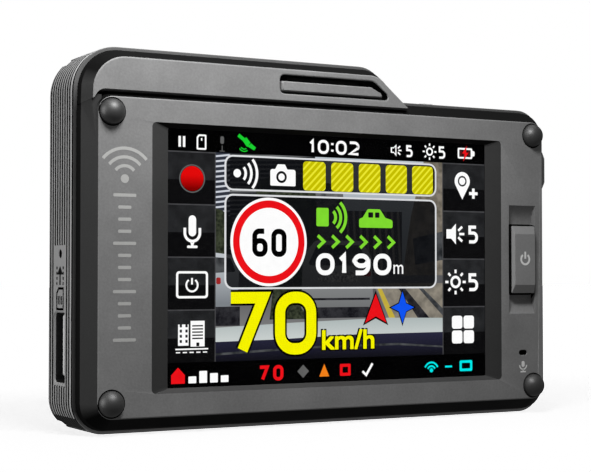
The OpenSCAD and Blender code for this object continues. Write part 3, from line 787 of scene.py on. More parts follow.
def ribbed_housing():
    base, inner = body_outline(0), body_outline(1)

    def ring(d, inset, groove=0.0):
        points = []
        for (x, z), (ix, iz) in zip(base, inner):
            level = rib_level(x, d, z)
            depth = inset + (LABEL_SINK if level is None else groove * RIB_DEPTH * level)
            points.append((x + (ix - x) * depth, d, z + (iz - z) * depth))
        return points

    floor_d = HOUSE_BACK - 1.6
    lip = path([(WALL, HOUSE_FRONT + 0.4, 0), (WALL, HOUSE_FRONT, 0.12), (0.45, HOUSE_FRONT, 0),
                (0.05, HOUSE_FRONT + 0.22, 0.04),
                (0, HOUSE_FRONT + 0.5, 0)])
    rear = path([(0, HOUSE_BACK - 0.8, 0), (0, HOUSE_BACK, 0.4), (0.9, HOUSE_BACK, 0)])
    rings = [ring(floor_d, WALL)] + [ring(d, inset) for inset, d in lip]
    rings += [ring(d, 0.0, amount) for d, amount in housing_levels()]
    rings += [ring(d, inset) for inset, d in rear[1:]]
    shell = skin("ribbed_housing", rings)
    bosses = [plate("boss", circle(sx * FIX_X, sz * FIX_Z, BOSS_R), HOUSE_FRONT + 0.05, floor_d + 0.2)
              for sx, sz in CORNERS]
    lug = soften(block("lug", (21.9, 5.6, HALF_H - 0.5), (24.7, 7.4, HALF_H + 0.3)), 0.1)
    combine(shell, bosses + [lug], "UNION")

    cutters = [block("cutter", (-36, floor_d - 1, -20), (38, HOUSE_BACK + 1, 21))]
    for sx in (-1, 1):
        for sz in (-1, 1):
            bore = [(0, 3), (1.8, 3), (1.8, HOUSE_FRONT + 4), (1.4, HOUSE_FRONT + 4.05), (1.4, 13.6),
                    (0, 13.6)]
            cutters.append(turned("cutter", bore, sx * FIX_X, sz * FIX_Z, steps=32))
    slot = slab("cutter", lambda grow: bar(SLOT_D[0] - grow, SLOT_D[1] + grow, SLOT_Z[0] - grow, SLOT_Z[1]
                                           + grow, 0.7 + grow),
                [(0.25, -1), (0.25, LABEL_SINK), (0.19, LABEL_SINK + 0.06), (0.0, LABEL_SINK + 0.3), (0, 3)])
    cutters.append(swap_side(slot, -1))
    cutters.append(swap_side(turned("cutter", [(0, -1), (RESET_R + 0.1, -1), (RESET_R + 0.1, LABEL_SINK),
                                               (RESET_R, LABEL_SINK + 0.1), (RESET_R, 3), (0, 3)],
                                    RESET_D, RESET_Z, steps=32), -1))
    hole_d, hole_z = (SIDE_LOW.y + 0.2, SIDE_HIGH.y - 0.2), (SIDE_LOW.z + 0.4, SIDE_HIGH.z + 0.3)
    side = slab("cutter", lambda grow: bar(hole_d[0] - grow, hole_d[1] + grow, hole_z[0] - grow, hole_z[1]
                                           + grow, 0.4 + grow),
                [(0.15, -1), (0.15, 0), (0, 0.15), (0, 3)])
    cutters.append(swap_side(side, 1))
    top = ROOF_Z
    cutters.append(block("cutter", (PLATE_LOW.x - 0.1, PLATE_LOW.y - 0.1, top - 1),
                         (PLATE_HIGH.x + 0.1, PLATE_HIGH.y + 0.1, top + 1)))
    plate_x, plate_y = (PLATE_LOW.x + PLATE_HIGH.x) / 2, (PLATE_LOW.y + PLATE_HIGH.y) / 2
    for s in (-1, 1):
        x = plate_x + s * 6.5
        cutters.append(block("cutter", (x - 2.8, plate_y - 2.8, top - 3),
                             (x + 2.8, plate_y + 2.8, top - 0.5)))
    cutters.append(block("cutter", (INLET_LOW.x - 0.1, INLET_LOW.y - 0.1, HALF_H - 3),
                         (INLET_HIGH.x + 0.1, INLET_HIGH.y + 0.1, HALF_H + 1)))
    cutters += [block("cutter", (36.8 + k * 1.8, 7, HALF_H - 3), (37.7 + k * 1.8, 14, HALF_H + 1))
                for k in range(4)]
    notches = [(-ROOF_R + HALF_W, ROOF_Z - ROOF_R, ROOF_R, 128),
               (HALF_W - CORNER_R, CORNER_R - HALF_H, CORNER_R, 236)]
    marks = []
    for x, z, r, turn in notches:
        a = math.radians(turn)
        marks.append((-x + r * math.cos(a), z + r * math.sin(a)))
        shape = moved(bar(-1.0, 1.0, -0.35, 1), *marks[-1], turn - 90)
        cutters.append(plate("cutter", shape, HOUSE_BACK - 2.2, HOUSE_BACK + 1))
    combine(shell, cutters)

    # Painted shade and light: the notches, the front face at the seam and the rib grooves take the near-black
    # shade material, the card slot walls and the inside take dark plastic as shade, and the lip ahead of the
    # ribs takes a painted highlight.
    def rule(centre, normal):
        x, d, z = centre
        if d > HOUSE_BACK - 2.21 and min(math.hypot(x - mx, z - mz) for mx, mz in marks) < 1.2:
            return 2
        inside = abs(x) < HALF_W - 0.7 and abs(z) < HALF_H - 0.7 and z < ROOF_Z - 0.7
        slot_wall = (x < -HALF_W + 1.99 and SLOT_D[0] - 0.3 < d < SLOT_D[1] + 0.3
                     and SLOT_Z[0] - 0.3 < z < SLOT_Z[1] + 0.3)
        if slot_wall and x > -HALF_W + 0.3:
            return 1
        if d < HOUSE_FRONT + 0.21:
            return 2
        ribbed = abs(x) > RIB_FROM_X and min(abs(d - RIB_START - k * RIB_PITCH)
                                             for k in range(RIB_COUNT)) < 0.27
        if ribbed and not inside and rib_level(x, d, z):
            return 2
        if d < RIB_START - 0.6 and not inside:
            return 3
        return 1 if inside and d < HOUSE_BACK - 0.1 else 0

    return piece(shell, "housing", [HOUSING, DARK, SHADE_BLACK, LIP], ["rear_housing"], rule)


def swap_side(obj, side):
    """Turns a shape drawn as (d, depth below the wall, z) to the left or right wall."""
    for vert in obj.data.vertices:
        d, sink, z = vert.co
        vert.co = (side * (HALF_W - sink), d, z)
    edit(obj.data, face_outwards)
    return obj


def side_marks():
    """Small signs beside the reset hole and over the card slot."""
    card = [(9.3, -8.9), (12.5, -8.9), (12.5, -6.2), (11.6, -5.3), (9.3, -5.3)]
    shapes = [stroke(card[k:] + card[:k + 1], 0.42) for k in (0, 2)]
    shapes += [bar(9.9 + k * 0.8, 10.3 + k * 0.8, -8.1, -6.6) for k in range(3)]
    shapes.append(bar(10.6, 11.2, -4.7, -2.6))
    shapes.append([(9.5, -2.9), (12.3, -2.9), (10.9, -1.4)])
    shapes += [bar(9.1, 9.6, -4.7 + k * 0.9, -4.2 + k * 0.9) for k in range(4)]
    shapes += [bar(12.2, 12.7, -4.7 + k * 0.9, -4.2 + k * 0.9) for k in range(4)]
    marks = [swap_side(plate("mark", shape, LABEL_SINK - 0.03, LABEL_SINK + 0.05), -1) for shape in shapes]
    return piece(joined("side_marks", marks), "housing", [PRINT_DARK])


def side_key():
    """Key on the right side, with a chamfered tip."""
    d0, d1, z0, z1 = SIDE_LOW.y + 0.5, SIDE_HIGH.y - 0.5, SIDE_LOW.z + 0.7, SIDE_HIGH.z
    neck, tip, root = SIDE_HIGH.x - 0.8, SIDE_HIGH.x, SIDE_LOW.x + 0.6

    def ring(x, trim_d, trim_z):
        return [(x, d, z) for d, z in bar(d0 + trim_d, d1 - trim_d, z0 + trim_z, z1 - trim_z, 0.3, 3)]

    cap = soften(skin("side_key_cap", [ring(root, 0, 0), ring(neck, 0, 0), ring(tip, 0.3, 1.2)]), 0.08, 3, 20)
    flange = block("part", (SIDE_LOW.x, SIDE_LOW.y, SIDE_LOW.z), (root + 0.2, SIDE_HIGH.y, z1 - 0.8), 0.2)
    obj = joined("side_key_cap", [cap, flange])

    # painted shade: faces of the tip turned up or down take the near-black shade material
    def rule(centre, normal):
        return 1 if abs(normal.z) > 0.4 and centre.x > neck else 0

    return piece(obj, "side_key", [KEY, SHADE_BLACK], ["side_button"], rule)


# ---------------------------------------------------------------- back

def back_cover():
    back = DOME_HIGH.y - 1
    base = HOUSE_BACK
    flange = slab("back_cover", lambda grow: bar(-43 - grow, 43 + grow, -28.3 - grow, 28.3 + grow, 4 + grow,
                                                 8),
                  path([(0, base, 0), (0, base + 1.5, 0.35), (-3, base + 1.5, 0)]))
    dome = slab("part", dome_outline,
                path([(0, base + 0.5, 0), (0, base + 2.4, 0.8), (-2.4, back, 1.1), (-5, back, 0)], 6))
    tunnel = turned("part",
                    path([(0, base + 1, 0), (12.8, base + 1, 0), (12.8, back + 1, 0.35), (0, back + 1, 0)]),
                    LENS_X, LENS_Z)
    ribs = [soften(block("part", (-33 + k * 2.2, back - 0.6, 16.9), (-31.9 + k * 2.2, back + 0.35, 19.6),
                         0.4), 0.12) for k in range(12)]
    combine(flange, [dome, tunnel] + ribs, "UNION")
    inner = slab("cutter", dome_outline, [(-1.7, base - 1), (-1.7, base + 0.2), (-4.1, back - 2.2),
                                          (-4.1, back - 1.7)])
    laser = [(LASER_LOW.x + LASER_HIGH.x) / 2, (LASER_LOW.z + LASER_HIGH.z) / 2]
    size = (LASER_HIGH.x - LASER_LOW.x, LASER_HIGH.z - LASER_LOW.z)

    def window(grow):
        w, h = size[0] / 2 + grow, size[1] / 2 + grow
        return bar(laser[0] - w, laser[0] + w, laser[1] - h, laser[1] + h, 1.0)

    cutters = [inner, slab("cutter", window, [(-1.5, base), (-1.5, back - 0.9), (0.1, back - 0.9),
                                              (0.1, back - 0.1), (0.25, back + 0.05), (0.25, back + 1)])]
    cutters.append(turned("cutter", [(0, base), (9.6, base), (9.6, back + 2), (0, back + 2)], LENS_X, LENS_Z))
    for sx in (-1, 1):
        for sz in (-1, 1):
            cutters.append(plate("cutter", circle(sx * BACK_FIX[0], sz * BACK_FIX[1], 1.1, 24), base - 1,
                                 base + 3))
    combine(flange, cutters)
    return piece(flange, "housing", [DARK], ["rear_cover"])


def back_screws():
    screws = []
    for sx in (-1, 1):
        for sz in (-1, 1):
            x, z, d = sx * BACK_FIX[0], sz * BACK_FIX[1], HOUSE_BACK + 1.5
            tip = [(0, 14.4), (0.6, 14.4), (0.85, 15.0), (0.85, d), (1.8, d), (1.8, d + 0.45)]
            head = turned("screw", tip + [(1.55, d + 0.85), (1.0, d + 1.05), (0, d + 1.1)], x, z, steps=32)
            cross = [block("cutter", (x - a, d + 0.5, z - b), (x + a, d + 2, z + b)) for a,
                     b in ((0.95, 0.17), (0.17, 0.95))]
            screws.append(combine(head, cross))
    return piece(joined("back_screws", screws), "housing", [STEEL_DARK], ["cover_screws"])


def lens_parts():
    x, z = LENS_X, LENS_Z
    base, back = RING_LOW.y, RING_HIGH.y
    cone = [(8.6, base + 3)]
    steps = 9
    for k in range(steps):
        r, d = 8.6 + 1.6 * k / steps, base + 3 + (back - base - 3) * k / steps
        cone += [(r, d + 0.05), (r + 0.12, d + 0.12)]
    ring = [(8.6, base), (12, base), (12, base + 1.3), (11.7, base + 1.6), (11, base + 1.6),
            (11, back - 0.25), (10.75, back), (10.3, back)]
    body = turned("lens_hood", ring + cone[::-1], x, z, closed=True, steps=96)
    piece(body, "housing", [HOOD], ["lens_ring"], angle=40)
    low, high = measure("lens_barrel")
    barrel = [(4, low.y), (6, low.y), (6, 23.4), (8.4, 23.4), (8.4, high.y - 0.2), (8.2, high.y),
              (7.3, high.y), (7, high.y - 0.3), (7, 24.6), (4, 24.6)]
    piece(turned("lens_tube", barrel, x, z, closed=True, steps=80), "housing", [HOOD],
          ["lens_barrel"], angle=40)
    low, high = measure("lens_glass")
    r, rise = 6.95, 2.3
    bulge = (6.3 ** 2 + rise ** 2) / (2 * rise)
    dome = [(bulge * math.sin(a), high.y - bulge * (1 - math.cos(a))) for a in
            [math.asin(6.3 / bulge) * (1 - k / 16) for k in range(17)]]
    glass = turned("lens_front", [(0, low.y), (r, low.y), (r, low.y + 1.1), (6.35, low.y + 1.12)] + dome, x,
                   z, steps=80)
    return piece(glass, "housing", [LENS], ["lens_glass"], angle=40)


def laser_lens():
    """Window of the laser receiver, crowned in both directions."""
    cx, cz = LASER_X, LASER_Z
    w, h = LASER_W / 2, LASER_H / 2
    levels = path([(0, LASER_LOW.y, 0), (0, LASER_LOW.y + 1.1, 0.3), (-0.8, LASER_HIGH.y - 0.12, 0.6),
                   (-2.5, LASER_HIGH.y, 0)], 6)
    obj = slab("laser_lens", lambda grow: bar(cx - w - grow, cx + w + grow, cz - h - grow, cz + h + grow,
                                              max(0.1, 0.9 + grow * 0.3)), levels)
    return piece(obj, "housing", [RED_WINDOW], ["laser_window"])


def card_piece():
    """Memory card with its cut corner and grip ridge."""
    x0, x1, z0, z1 = CARD_LOW.x, CARD_HIGH.x, CARD_LOW.z, CARD_HIGH.z
    outline = loop([(x0, z0, 0.6), (x1 - 2.2, z0, 0.3), (x1, z0 + 2.2, 0.3), (x1, z1, 0.6), (x0, z1, 0.6)], 3)
    card = soften(plate("card", outline, CARD_LOW.y, CARD_HIGH.y), 0.08, 2, 40)
    grip = soften(block("cutter", (x0 + 0.7, CARD_LOW.y - 0.5, z0 + 1.5),
                        (x0 + 1.5, CARD_LOW.y + 0.2, z1 - 1.5), 0.3), 0.05)
    combine(card, [grip])
    return piece(card, "card", [CARD], ["memory_card"])


# ---------------------------------------------------------------- materials of the small parts

STEEL_DARK = metal("screw_steel", (0.16, 0.16, 0.17), 0.35, grain=0.3)
HOOD = plastic("lens_hood_black", (0.008, 0.008, 0.009), 0.32, grain=0.12, bump=0.004, specular=0.5)
# near-white card plastic, made this light as painted light so the card's edge shows bright inside the shaded
# slot
CARD = plastic("card_plastic", (0.85,) * 3, 0.35, grain=0.2, bump=0.004)
LENS = plastic("lens_coating", (0.006, 0.008, 0.02), 0.04, grain=3, bump=0.0005, specular=0.8)
LENS.node_tree.nodes["Principled BSDF"].inputs["Coat Weight"].default_value = 1.0
LENS.node_tree.nodes["Principled BSDF"].inputs["Coat Tint"].default_value = (0.55, 0.5, 1.0, 1)
RED_WINDOW = plastic("laser_window_red", (0.03, 0.002, 0.004), 0.08, grain=2, bump=0.001, specular=0.7)


def glass():
    """Clear cover glass: nearly all light passes, with a faint gloss."""
    material, tree, main, coords = shader("cover_glass", (1, 1, 1), 0.03)
    clear = add(tree, "BsdfTransparent")
    gloss = add(tree, "BsdfGlossy", Roughness=0.05)
    smears = spread(tree, noise(tree, coords, 9), 0.0, 0.004)
    facing = add(tree, "LayerWeight", Blend=0.5).outputs["Facing"]
    edge_on = add(tree, "Math", {"operation": "POWER"}, Value=facing, i1=5.0).outputs[0]
    share = add(tree, "Math", {"operation": "MULTIPLY_ADD"}, Value=edge_on, i1=0.5, i2=smears).outputs[0]
    both = add(tree, "MixShader", i0=share, i1=clear.outputs[0], i2=gloss.outputs[0])
    tree.links.new(both.outputs[0], tree.nodes["Material Output"].inputs["Surface"])
    return material


def cover_glass():
    low, high = measure("touch_panel")
    obj = soften(block("cover_glass", low, high, 0.5), 0.05, 2)
    return piece(obj, "housing", [glass()], ["touch_panel"])


# ---------------------------------------------------------------- picture on the display

BACK, FILM, MARK, TOP = (1.90, 1.93), (1.85, 1.88), (1.79, 1.82), (1.73, 1.76)


def stamp(name, outlines, level, material):
    """Flat areas of the picture. An outline inside another one is a hole."""
    drawing = bpy.data.curves.new(name, "CURVE")
    drawing.dimensions = "2D"
    drawing.fill_mode = "BOTH"
    drawing.extrude = (level[1] - level[0]) / 2
    for outline in outlines:
        line = drawing.splines.new("POLY")
        line.points.add(len(outline) - 1)
        for point, (x, z) in zip(line.points, outline):
            point.co = (x, z, 0, 1)
        line.use_cyclic_u = True
    obj = bpy.data.objects.new(name, drawing)
    bpy.context.scene.collection.objects.link(obj)
    return flat_mesh(obj, name, level, material)


def flat_mesh(source, name, level, material, box=None):
    """Turns a filled curve or a number into a closed piece that faces the driver."""
    graph = bpy.context.evaluated_depsgraph_get()
    mesh = bpy.data.meshes.new_from_object(source.evaluated_get(graph))
    data = source.data
    bpy.data.objects.remove(source)
    bpy.data.curves.remove(data)
    if box:
        xs = [vert.co.x for vert in mesh.vertices]
        ys = [vert.co.y for vert in mesh.vertices]
        for vert in mesh.vertices:
            vert.co.x = box[0] + (vert.co.x - min(xs)) * (box[1] - box[0]) / (max(xs) - min(xs))
            vert.co.y = box[2] + (vert.co.y - min(ys)) * (box[3] - box[2]) / (max(ys) - min(ys))
    middle = (level[0] + level[1]) / 2
    mesh.transform(Matrix.Translation((0, middle, 0)) @ Matrix.Rotation(math.radians(90), 4, "X"))
    obj = bpy.data.objects.new(name, mesh)
    bpy.context.scene.collection.objects.link(obj)
    work = bmesh.new()
    work.from_mesh(mesh)
    bmesh.ops.remove_doubles(work, verts=work.verts, dist=1e-4)
    bmesh.ops.recalc_face_normals(work, faces=work.faces)
    work.to_mesh(mesh)
    work.free()
    mesh.materials.clear()
    mesh.materials.append(material)
    return obj


def number(text, box, level, material, weight=0.0):
    """A number fitted into the box (x0, x1, z0, z1), its strokes fattened by weight."""
    writing = bpy.data.curves.new("number", "FONT")
    writing.body = text
    writing.offset = weight
    writing.extrude = (level[1] - level[0]) / 2
    obj = bpy.data.objects.new("number", writing)
    bpy.context.scene.collection.objects.link(obj)
    return flat_mesh(obj, "number", level, material, box)


def figure_lines(sign, r):
    """Centre lines of a figure in a unit cell: (x, z, radius) corners, or (low, high) for a closed line."""
    return {
        "0": [(0, 1)],
        "1": [[(0.1, 0.76, 0), (0.6, 1, 0), (0.6, 0, 0)]],
        "2": [[(0, 1, 0), (1, 1, r), (1, 0.56, r / 2), (0, 0, 0), (1, 0, 0)]],
        "5": [[(0.92, 1, 0), (0.08, 1, 0), (0.08, 0.6, 0), (1, 0.6, r), (1, 0, r), (0, 0, 0)]],
        "6": [(0, 0.58), [(0, 0.3, 0), (0, 1, r), (0.9, 1, 0)]],
        "7": [[(0, 1, 0), (1, 1, 0), (0.36, 0, 0)]],
        "9": [(0.42, 1), [(1, 0.7, 0), (1, 0, r), (0.1, 0, 0)]],
        ":": [[(0.5, 0.12, 0), (0.5, 0.3, 0)], [(0.5, 0.7, 0), (0.5, 0.88, 0)]],
    }[sign]


def figures(text, box, level, material, width, gap, fatter=0.0):
    """Numbers of even stroke width, fitted into the box (x0, x1, z0, z1)."""
    shares = [{"1": 0.62, ":": 0.25}.get(sign, 1.0) for sign in text]
    cell = (box[1] - box[0] - gap * (len(text) - 1)) / sum(shares)
    made, x = [], box[0]
    for sign, share in zip(text, shares):
        x0, z0 = x + width / 2, box[2] + width / 2
        span, rise = cell * share - width, box[3] - box[2] - width
        r = span * 0.44
        for k, line in enumerate(figure_lines(sign, r)):
            if isinstance(line, tuple):
                low, high, half = z0 + rise * line[0], z0 + rise * line[1], width / 2 + fatter
                outlines = [bar(x0 - half, x0 + span + half, low - half, high + half, r + half, 8),
                            bar(x0 + half, x0 + span - half, low + half, high - half, max(0.05, r - half), 8)]
            else:
                corners = [(x0 + a * span, z0 + b * rise, bend) for a, b, bend in line]
                outlines = [stroke(path(corners, 8), width + fatter * 2)]
            made.append(stamp("figure", outlines, (level[0] - k * 0.002, level[1] - k * 0.002), material))
        x += cell * share + gap
    return made


def shown(name, objects):
    """Joins areas of the picture into one piece that rides on the housing."""
    materials = []
    work = bmesh.new()
    for obj in objects:
        material = obj.data.materials[0]
        if material not in materials:
            materials.append(material)
        before = len(work.faces)
        work.from_mesh(obj.data)
        work.faces.ensure_lookup_table()
        for face in work.faces[before:]:
            face.material_index = materials.index(material)
        bpy.data.objects.remove(obj)
    mesh = bpy.data.meshes.new(name)
    work.to_mesh(mesh)
    work.free()
    obj = bpy.data.objects.new(name, mesh)
    bpy.context.scene.collection.objects.link(obj)
    for material in materials:
        mesh.materials.append(material)
    mesh.transform(TO_ROW)
    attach(obj, "housing")
    return obj


WHITE = glow("picture_white", (1.0,) * 3, uneven=0.03)
GREY = glow("picture_grey", (0.12,) * 3)
BLACK = glow("picture_black", (0.0006, 0.0006, 0.0007), uneven=0.4)
RED = glow("picture_red", (0.85, 0.006, 0.01))
GREEN = glow("picture_green", (0.22, 0.72, 0.03))
BRIGHT_GREEN = glow("picture_bright_green", (0.01, 0.65, 0.03))
YELLOW = glow("picture_yellow", (0.93, 0.9, 0.0), uneven=0.03)
BLUE = glow("picture_blue", (0.005, 0.09, 0.9))
CYAN = glow("picture_cyan", (0.0, 0.8, 0.8))
ORANGE = glow("picture_orange", (0.9, 0.22, 0.01))
HATCHED = striped_glow("picture_hatched_yellow", (0.56, 0.52, 0.0), (0.85, 0.82, 0.03), 0.95, turn=-45.0)

# Edges of the areas of the picture
LEFT, RIGHT = VIEW_X - VIEW_W / 2 - 0.6, VIEW_X + VIEW_W / 2 + 0.6
TOP_Z, FOOT_Z = VIEW_H / 2 + 0.5, -VIEW_H / 2 - 0.5
STATUS_Z, INFO_Z = 18.75, -18.25
CELL_H = (STATUS_Z - INFO_Z) / 4
LEFT_CELLS = (LEFT, -24.5)
RIGHT_CELLS = (24.45, RIGHT)


def street():
    """The road ahead, as simple areas: sky, houses, trees, cars, pavement and the bonnet."""
    sky = shaded_glow("street_sky", (0.5, 0.55, 0.6), (0.25, 0.28, 0.3), 0, 18)
    house = glow("street_house", (0.16,) * 3, other=(0.05, 0.055, 0.06), size=1.2)
    light_house = striped_glow("street_slats", (0.03, 0.035, 0.05), (0.6, 0.63, 0.7), 0.9, turn=97)
    trees = glow("street_trees", (0.012, 0.016, 0.01), other=(0.05, 0.06, 0.035), size=0.7)
    wall = glow("street_wall", (0.13, 0.115, 0.09), other=(0.24, 0.21, 0.17), size=1.4)
    pavement = glow("street_pavement", (0.30, 0.27, 0.22), other=(0.16, 0.145, 0.12), size=1.8)
    road = shaded_glow("street_road", (0.10, 0.10, 0.105), (0.22,) * 3, -14, -6)
    car = shaded_glow("street_car", (0.34, 0.35, 0.35), (0.12, 0.125, 0.13), -12, 4)
    glassy = glow("street_car_glass", (0.02, 0.022, 0.025), other=(0.08, 0.085, 0.09), size=2)
    dark = glow("street_dark", (0.008, 0.008, 0.011), other=(0.03, 0.03, 0.035), size=1.2)
    bonnet = shaded_glow("street_bonnet", (0.36, 0.42, 0.42), (0.60, 0.64, 0.63), -15, -10)
    dash = shaded_glow("street_dash", (0.02, 0.02, 0.045), (0.006, 0.006, 0.01), -18, -14)
    lamp_red = glow("street_lamp_red", (0.35, 0.02, 0.02), uneven=0.4)
    kerb = glow("street_kerb", (0.55, 0.42, 0.05))
    x0, x1 = -24.6, 24.6
    number_plate = glow("street_number_plate", (0.5, 0.5, 0.48), other=(0.1,) * 3, size=0.35)
    side_car = shaded_glow("street_side_car", (0.5, 0.53, 0.56), (0.2, 0.22, 0.24), -8, 0)
    tower = striped_glow("street_tower", (0.02, 0.022, 0.025), (0.16, 0.165, 0.17), 0.8, turn=92)
    facade = striped_glow("street_facade", (0.05,) * 3, (0.2, 0.19, 0.17), 1.4, turn=3)
    areas = [
        (bar(x0, x1, -6, STATUS_Z), sky),
        (bar(-21.5, -4, -4, STATUS_Z), tower),
        (loop([(-4, -4), (2, -4), (2, 12), (-1, 14), (-4, 14)]), house),
        (bar(2, 15, -4, 9), facade),
        (bar(x0, -21.5, 3.5, STATUS_Z), light_house),
        (loop([(x0, -1.5), (-19, -1.5), (-19.5, 6, 1), (-23, 8.5, 1), (x0, 9)]), trees),
        (loop([(-17, 4), (-3, 2), (-4, 13, 2), (-9, 16, 2), (-16, 14, 2)]), trees),
        (loop([(15, -4), (x1, -5), (x1, STATUS_Z), (20, STATUS_Z), (17, 8)]), wall),
        (loop([(18, -1), (x1, 0), (x1, 5.5), (17.5, 4)]), glassy),
        (bar(x0, x1, -15, -3), road),
        (loop([(8.5, -4.5), (x1, -4.5), (x1, -11.6), (12.5, -11.5)]), pavement),
        (loop([(9.5, -5.5), (10.4, -5.5), (13.6, -11.3), (12.2, -11.3)]), kerb),
        (loop([(14, -5.2), (15.4, -5.2), (21.5, -11.4), (18.8, -11.4)]), dark),
        (loop([(18.5, -5.2), (19.4, -5.2), (x1, -9.6), (x1, -11)]), glassy),
        (loop([(x0, -8.8), (-20, -8.4, 0.4), (-19.6, -2, 1), (-21, 0.6, 0.8), (x0, 1)]), side_car),
        (loop([(x0, -2.6), (-20.3, -2.4, 0.3), (-21.3, 0.0, 0.4), (x0, 0.2)]), glassy),
        (bar(x0, -19.5, -12, -8.6), dark),
        (loop([(-13.5, -11), (-12.5, -3, 0.6), (-4.2, -1, 0.8), (-4.4, -11)]), trees),
        (loop([(-7, -9.5, 0.8), (8.6, -9.5, 0.8), (8.2, 0.5, 1.4), (6, 3.4, 1.2), (-4, 3.4, 1.2),
               (-6.6, 0.5, 1.4)]), car),
        (loop([(-5.6, -1.2, 0.4), (7.2, -1.2, 0.4), (5.6, 2.6, 0.6), (-3.6, 2.6, 0.6)]), glassy),
        (bar(-6.4, 8.0, -10.9, -8.9, 0.6), dark),
        (bar(-3.4, 5.2, -4.2, -2.4, 0.2), number_plate),
        (bar(-6.2, 7.8, -7.6, -7.2), dark),
        (loop([(x0, -15), (x1, -14.2), (x1, -11.2), (12, -11.0, 9), (-8, -11.6, 9), (x0, -12.3)]), bonnet),
        (loop([(x0, INFO_Z), (x1, INFO_Z), (x1, -13.9), (5, -14.0, 9), (-12, -14.6, 9), (x0, -14.8)]), dash),
        (loop([(x0, -16.8), (-6, -16.0, 6), (14, -15.8, 6), (x1, -16.6), (x1, -16.9), (14, -16.2, 6),
               (-6, -16.4, 6), (x0, -17.2)]), glassy),
        (bar(-24.2, -23.3, -4.6, -3.4, 0.3), lamp_red),
        (bar(5.8, 8.0, -3.2, -2.2, 0.3), lamp_red),
    ]
    made = []
    for k, (outline, material) in enumerate(areas):
        made.append(stamp("area", [outline], (BACK[1] - 0.0012 - k * 0.0012, BACK[1] - k * 0.0012), material))
    return shown("picture_street", made)


def frames():
    """Black bars, the dark cells at both sides, and the two message boxes."""
    cell_light = glow("cell_light", (0.024, 0.025, 0.027), other=(0.012, 0.0125, 0.0135), size=2.5)
    cell_dark = glow("cell_dark", (0.0045, 0.0045, 0.005), uneven=0.3)
    cell_edge = glow("cell_edge", (0.07, 0.07, 0.075), uneven=0.3)
    box_fill = glow("box_fill", (0.004, 0.0045, 0.006), uneven=0.2)
    box_fill.node_tree.nodes["Principled BSDF"].inputs["Alpha"].default_value = 0.78
    made = [stamp("area", [bar(LEFT, RIGHT, STATUS_Z, TOP_Z)], FILM, BLACK),
            stamp("area", [bar(LEFT, RIGHT, FOOT_Z, INFO_Z)], FILM, BLACK)]
    for x0, x1 in (LEFT_CELLS, RIGHT_CELLS):
        for k in range(4):
            top = STATUS_Z - k * CELL_H
            made.append(stamp("area", [bar(x0, x1, top - 0.22, top)], FILM, cell_edge))
            made.append(stamp("area", [bar(x0, x1, top - 5.0, top - 0.22)], FILM, cell_light))
            made.append(stamp("area", [bar(x0, x1, top - CELL_H, top - 5.0)], FILM, cell_dark))
    for x in (LEFT_CELLS[1], RIGHT_CELLS[0] - 0.18):
        made.append(stamp("area", [bar(x, x + 0.18, INFO_Z, STATUS_Z)], FILM, cell_edge))
    for z0, z1 in ((12.1, 18.45), (-5.5, 11.5)):
        outer, inner = bar(-22.6, 22.9, z0, z1, 1.6), bar(-22.25, 22.55, z0 + 0.32, z1 - 0.32, 1.3)
        made.append(stamp("area", [outer, inner], FILM, glow("box_edge", (0.75, 0.76, 0.78))))
        made.append(stamp("area", [inner], FILM, box_fill))
    return shown("picture_frames", made)


def speaker_shape(x, z, size, solid=True):
    """Loudspeaker sign with three sound strokes."""
    horn = [(x - size, z - size * 0.45), (x - size * 0.45, z - size * 0.45), (x + size * 0.1, z - size),
            (x + size * 0.1, z + size), (x - size * 0.45, z + size * 0.45), (x - size, z + size * 0.45)]
    shapes = [horn]
    if not solid:
        shapes.append([(x + (px - x) * 0.62 - size * 0.16, z + (pz - z) * 0.62) for px, pz in horn])
    for a in (-40, 0, 40):
        reach = [(size * (0.5 + t) * math.cos(math.radians(a)), size * (0.5 + t) * math.sin(math.radians(a)))
                 for t in (0, 0.6)]
        shapes.append(moved(stroke(reach, size * 0.24), x, z))
    return shapes


def sun_shape(x, z, r):
    shapes = [circle(x, z, r * 0.52, 28), circle(x, z, r * 0.3, 24)]
    for k in range(8):
        shapes.append(moved(stroke([(0, r * 0.72), (0, r * 1.02)], r * 0.2), x, z, 45 * k))
    return shapes


def mic_shape(x, z, size):
    """Microphone sign of a given height."""
    s = size / 5.6
    return [bar(x - 0.72 * s, x + 0.72 * s, z - 0.9 * s, z + 2.8 * s, 0.71 * s),
            stroke([(x - 1.45 * s, z + 0.6 * s)] + arc(x, z - 0.3 * s, 1.45 * s, 180, 360, 14)
                   + [(x + 1.45 * s, z + 0.6 * s)], 0.5 * s),
            bar(x - 0.22 * s, x + 0.22 * s, z - 2.5 * s, z - 1.95 * s),
            bar(x - 1.0 * s, x + 1.0 * s, z - 2.95 * s, z - 2.5 * s, 0.15 * s)]


def power_shape(x, z, r):
    return [moved(stroke(arc(0, 0, r, 125, 415, 20), r * 0.3), x, z),
            bar(x - r * 0.15, x + r * 0.15, z + r * 0.1, z + r * 1.15)]


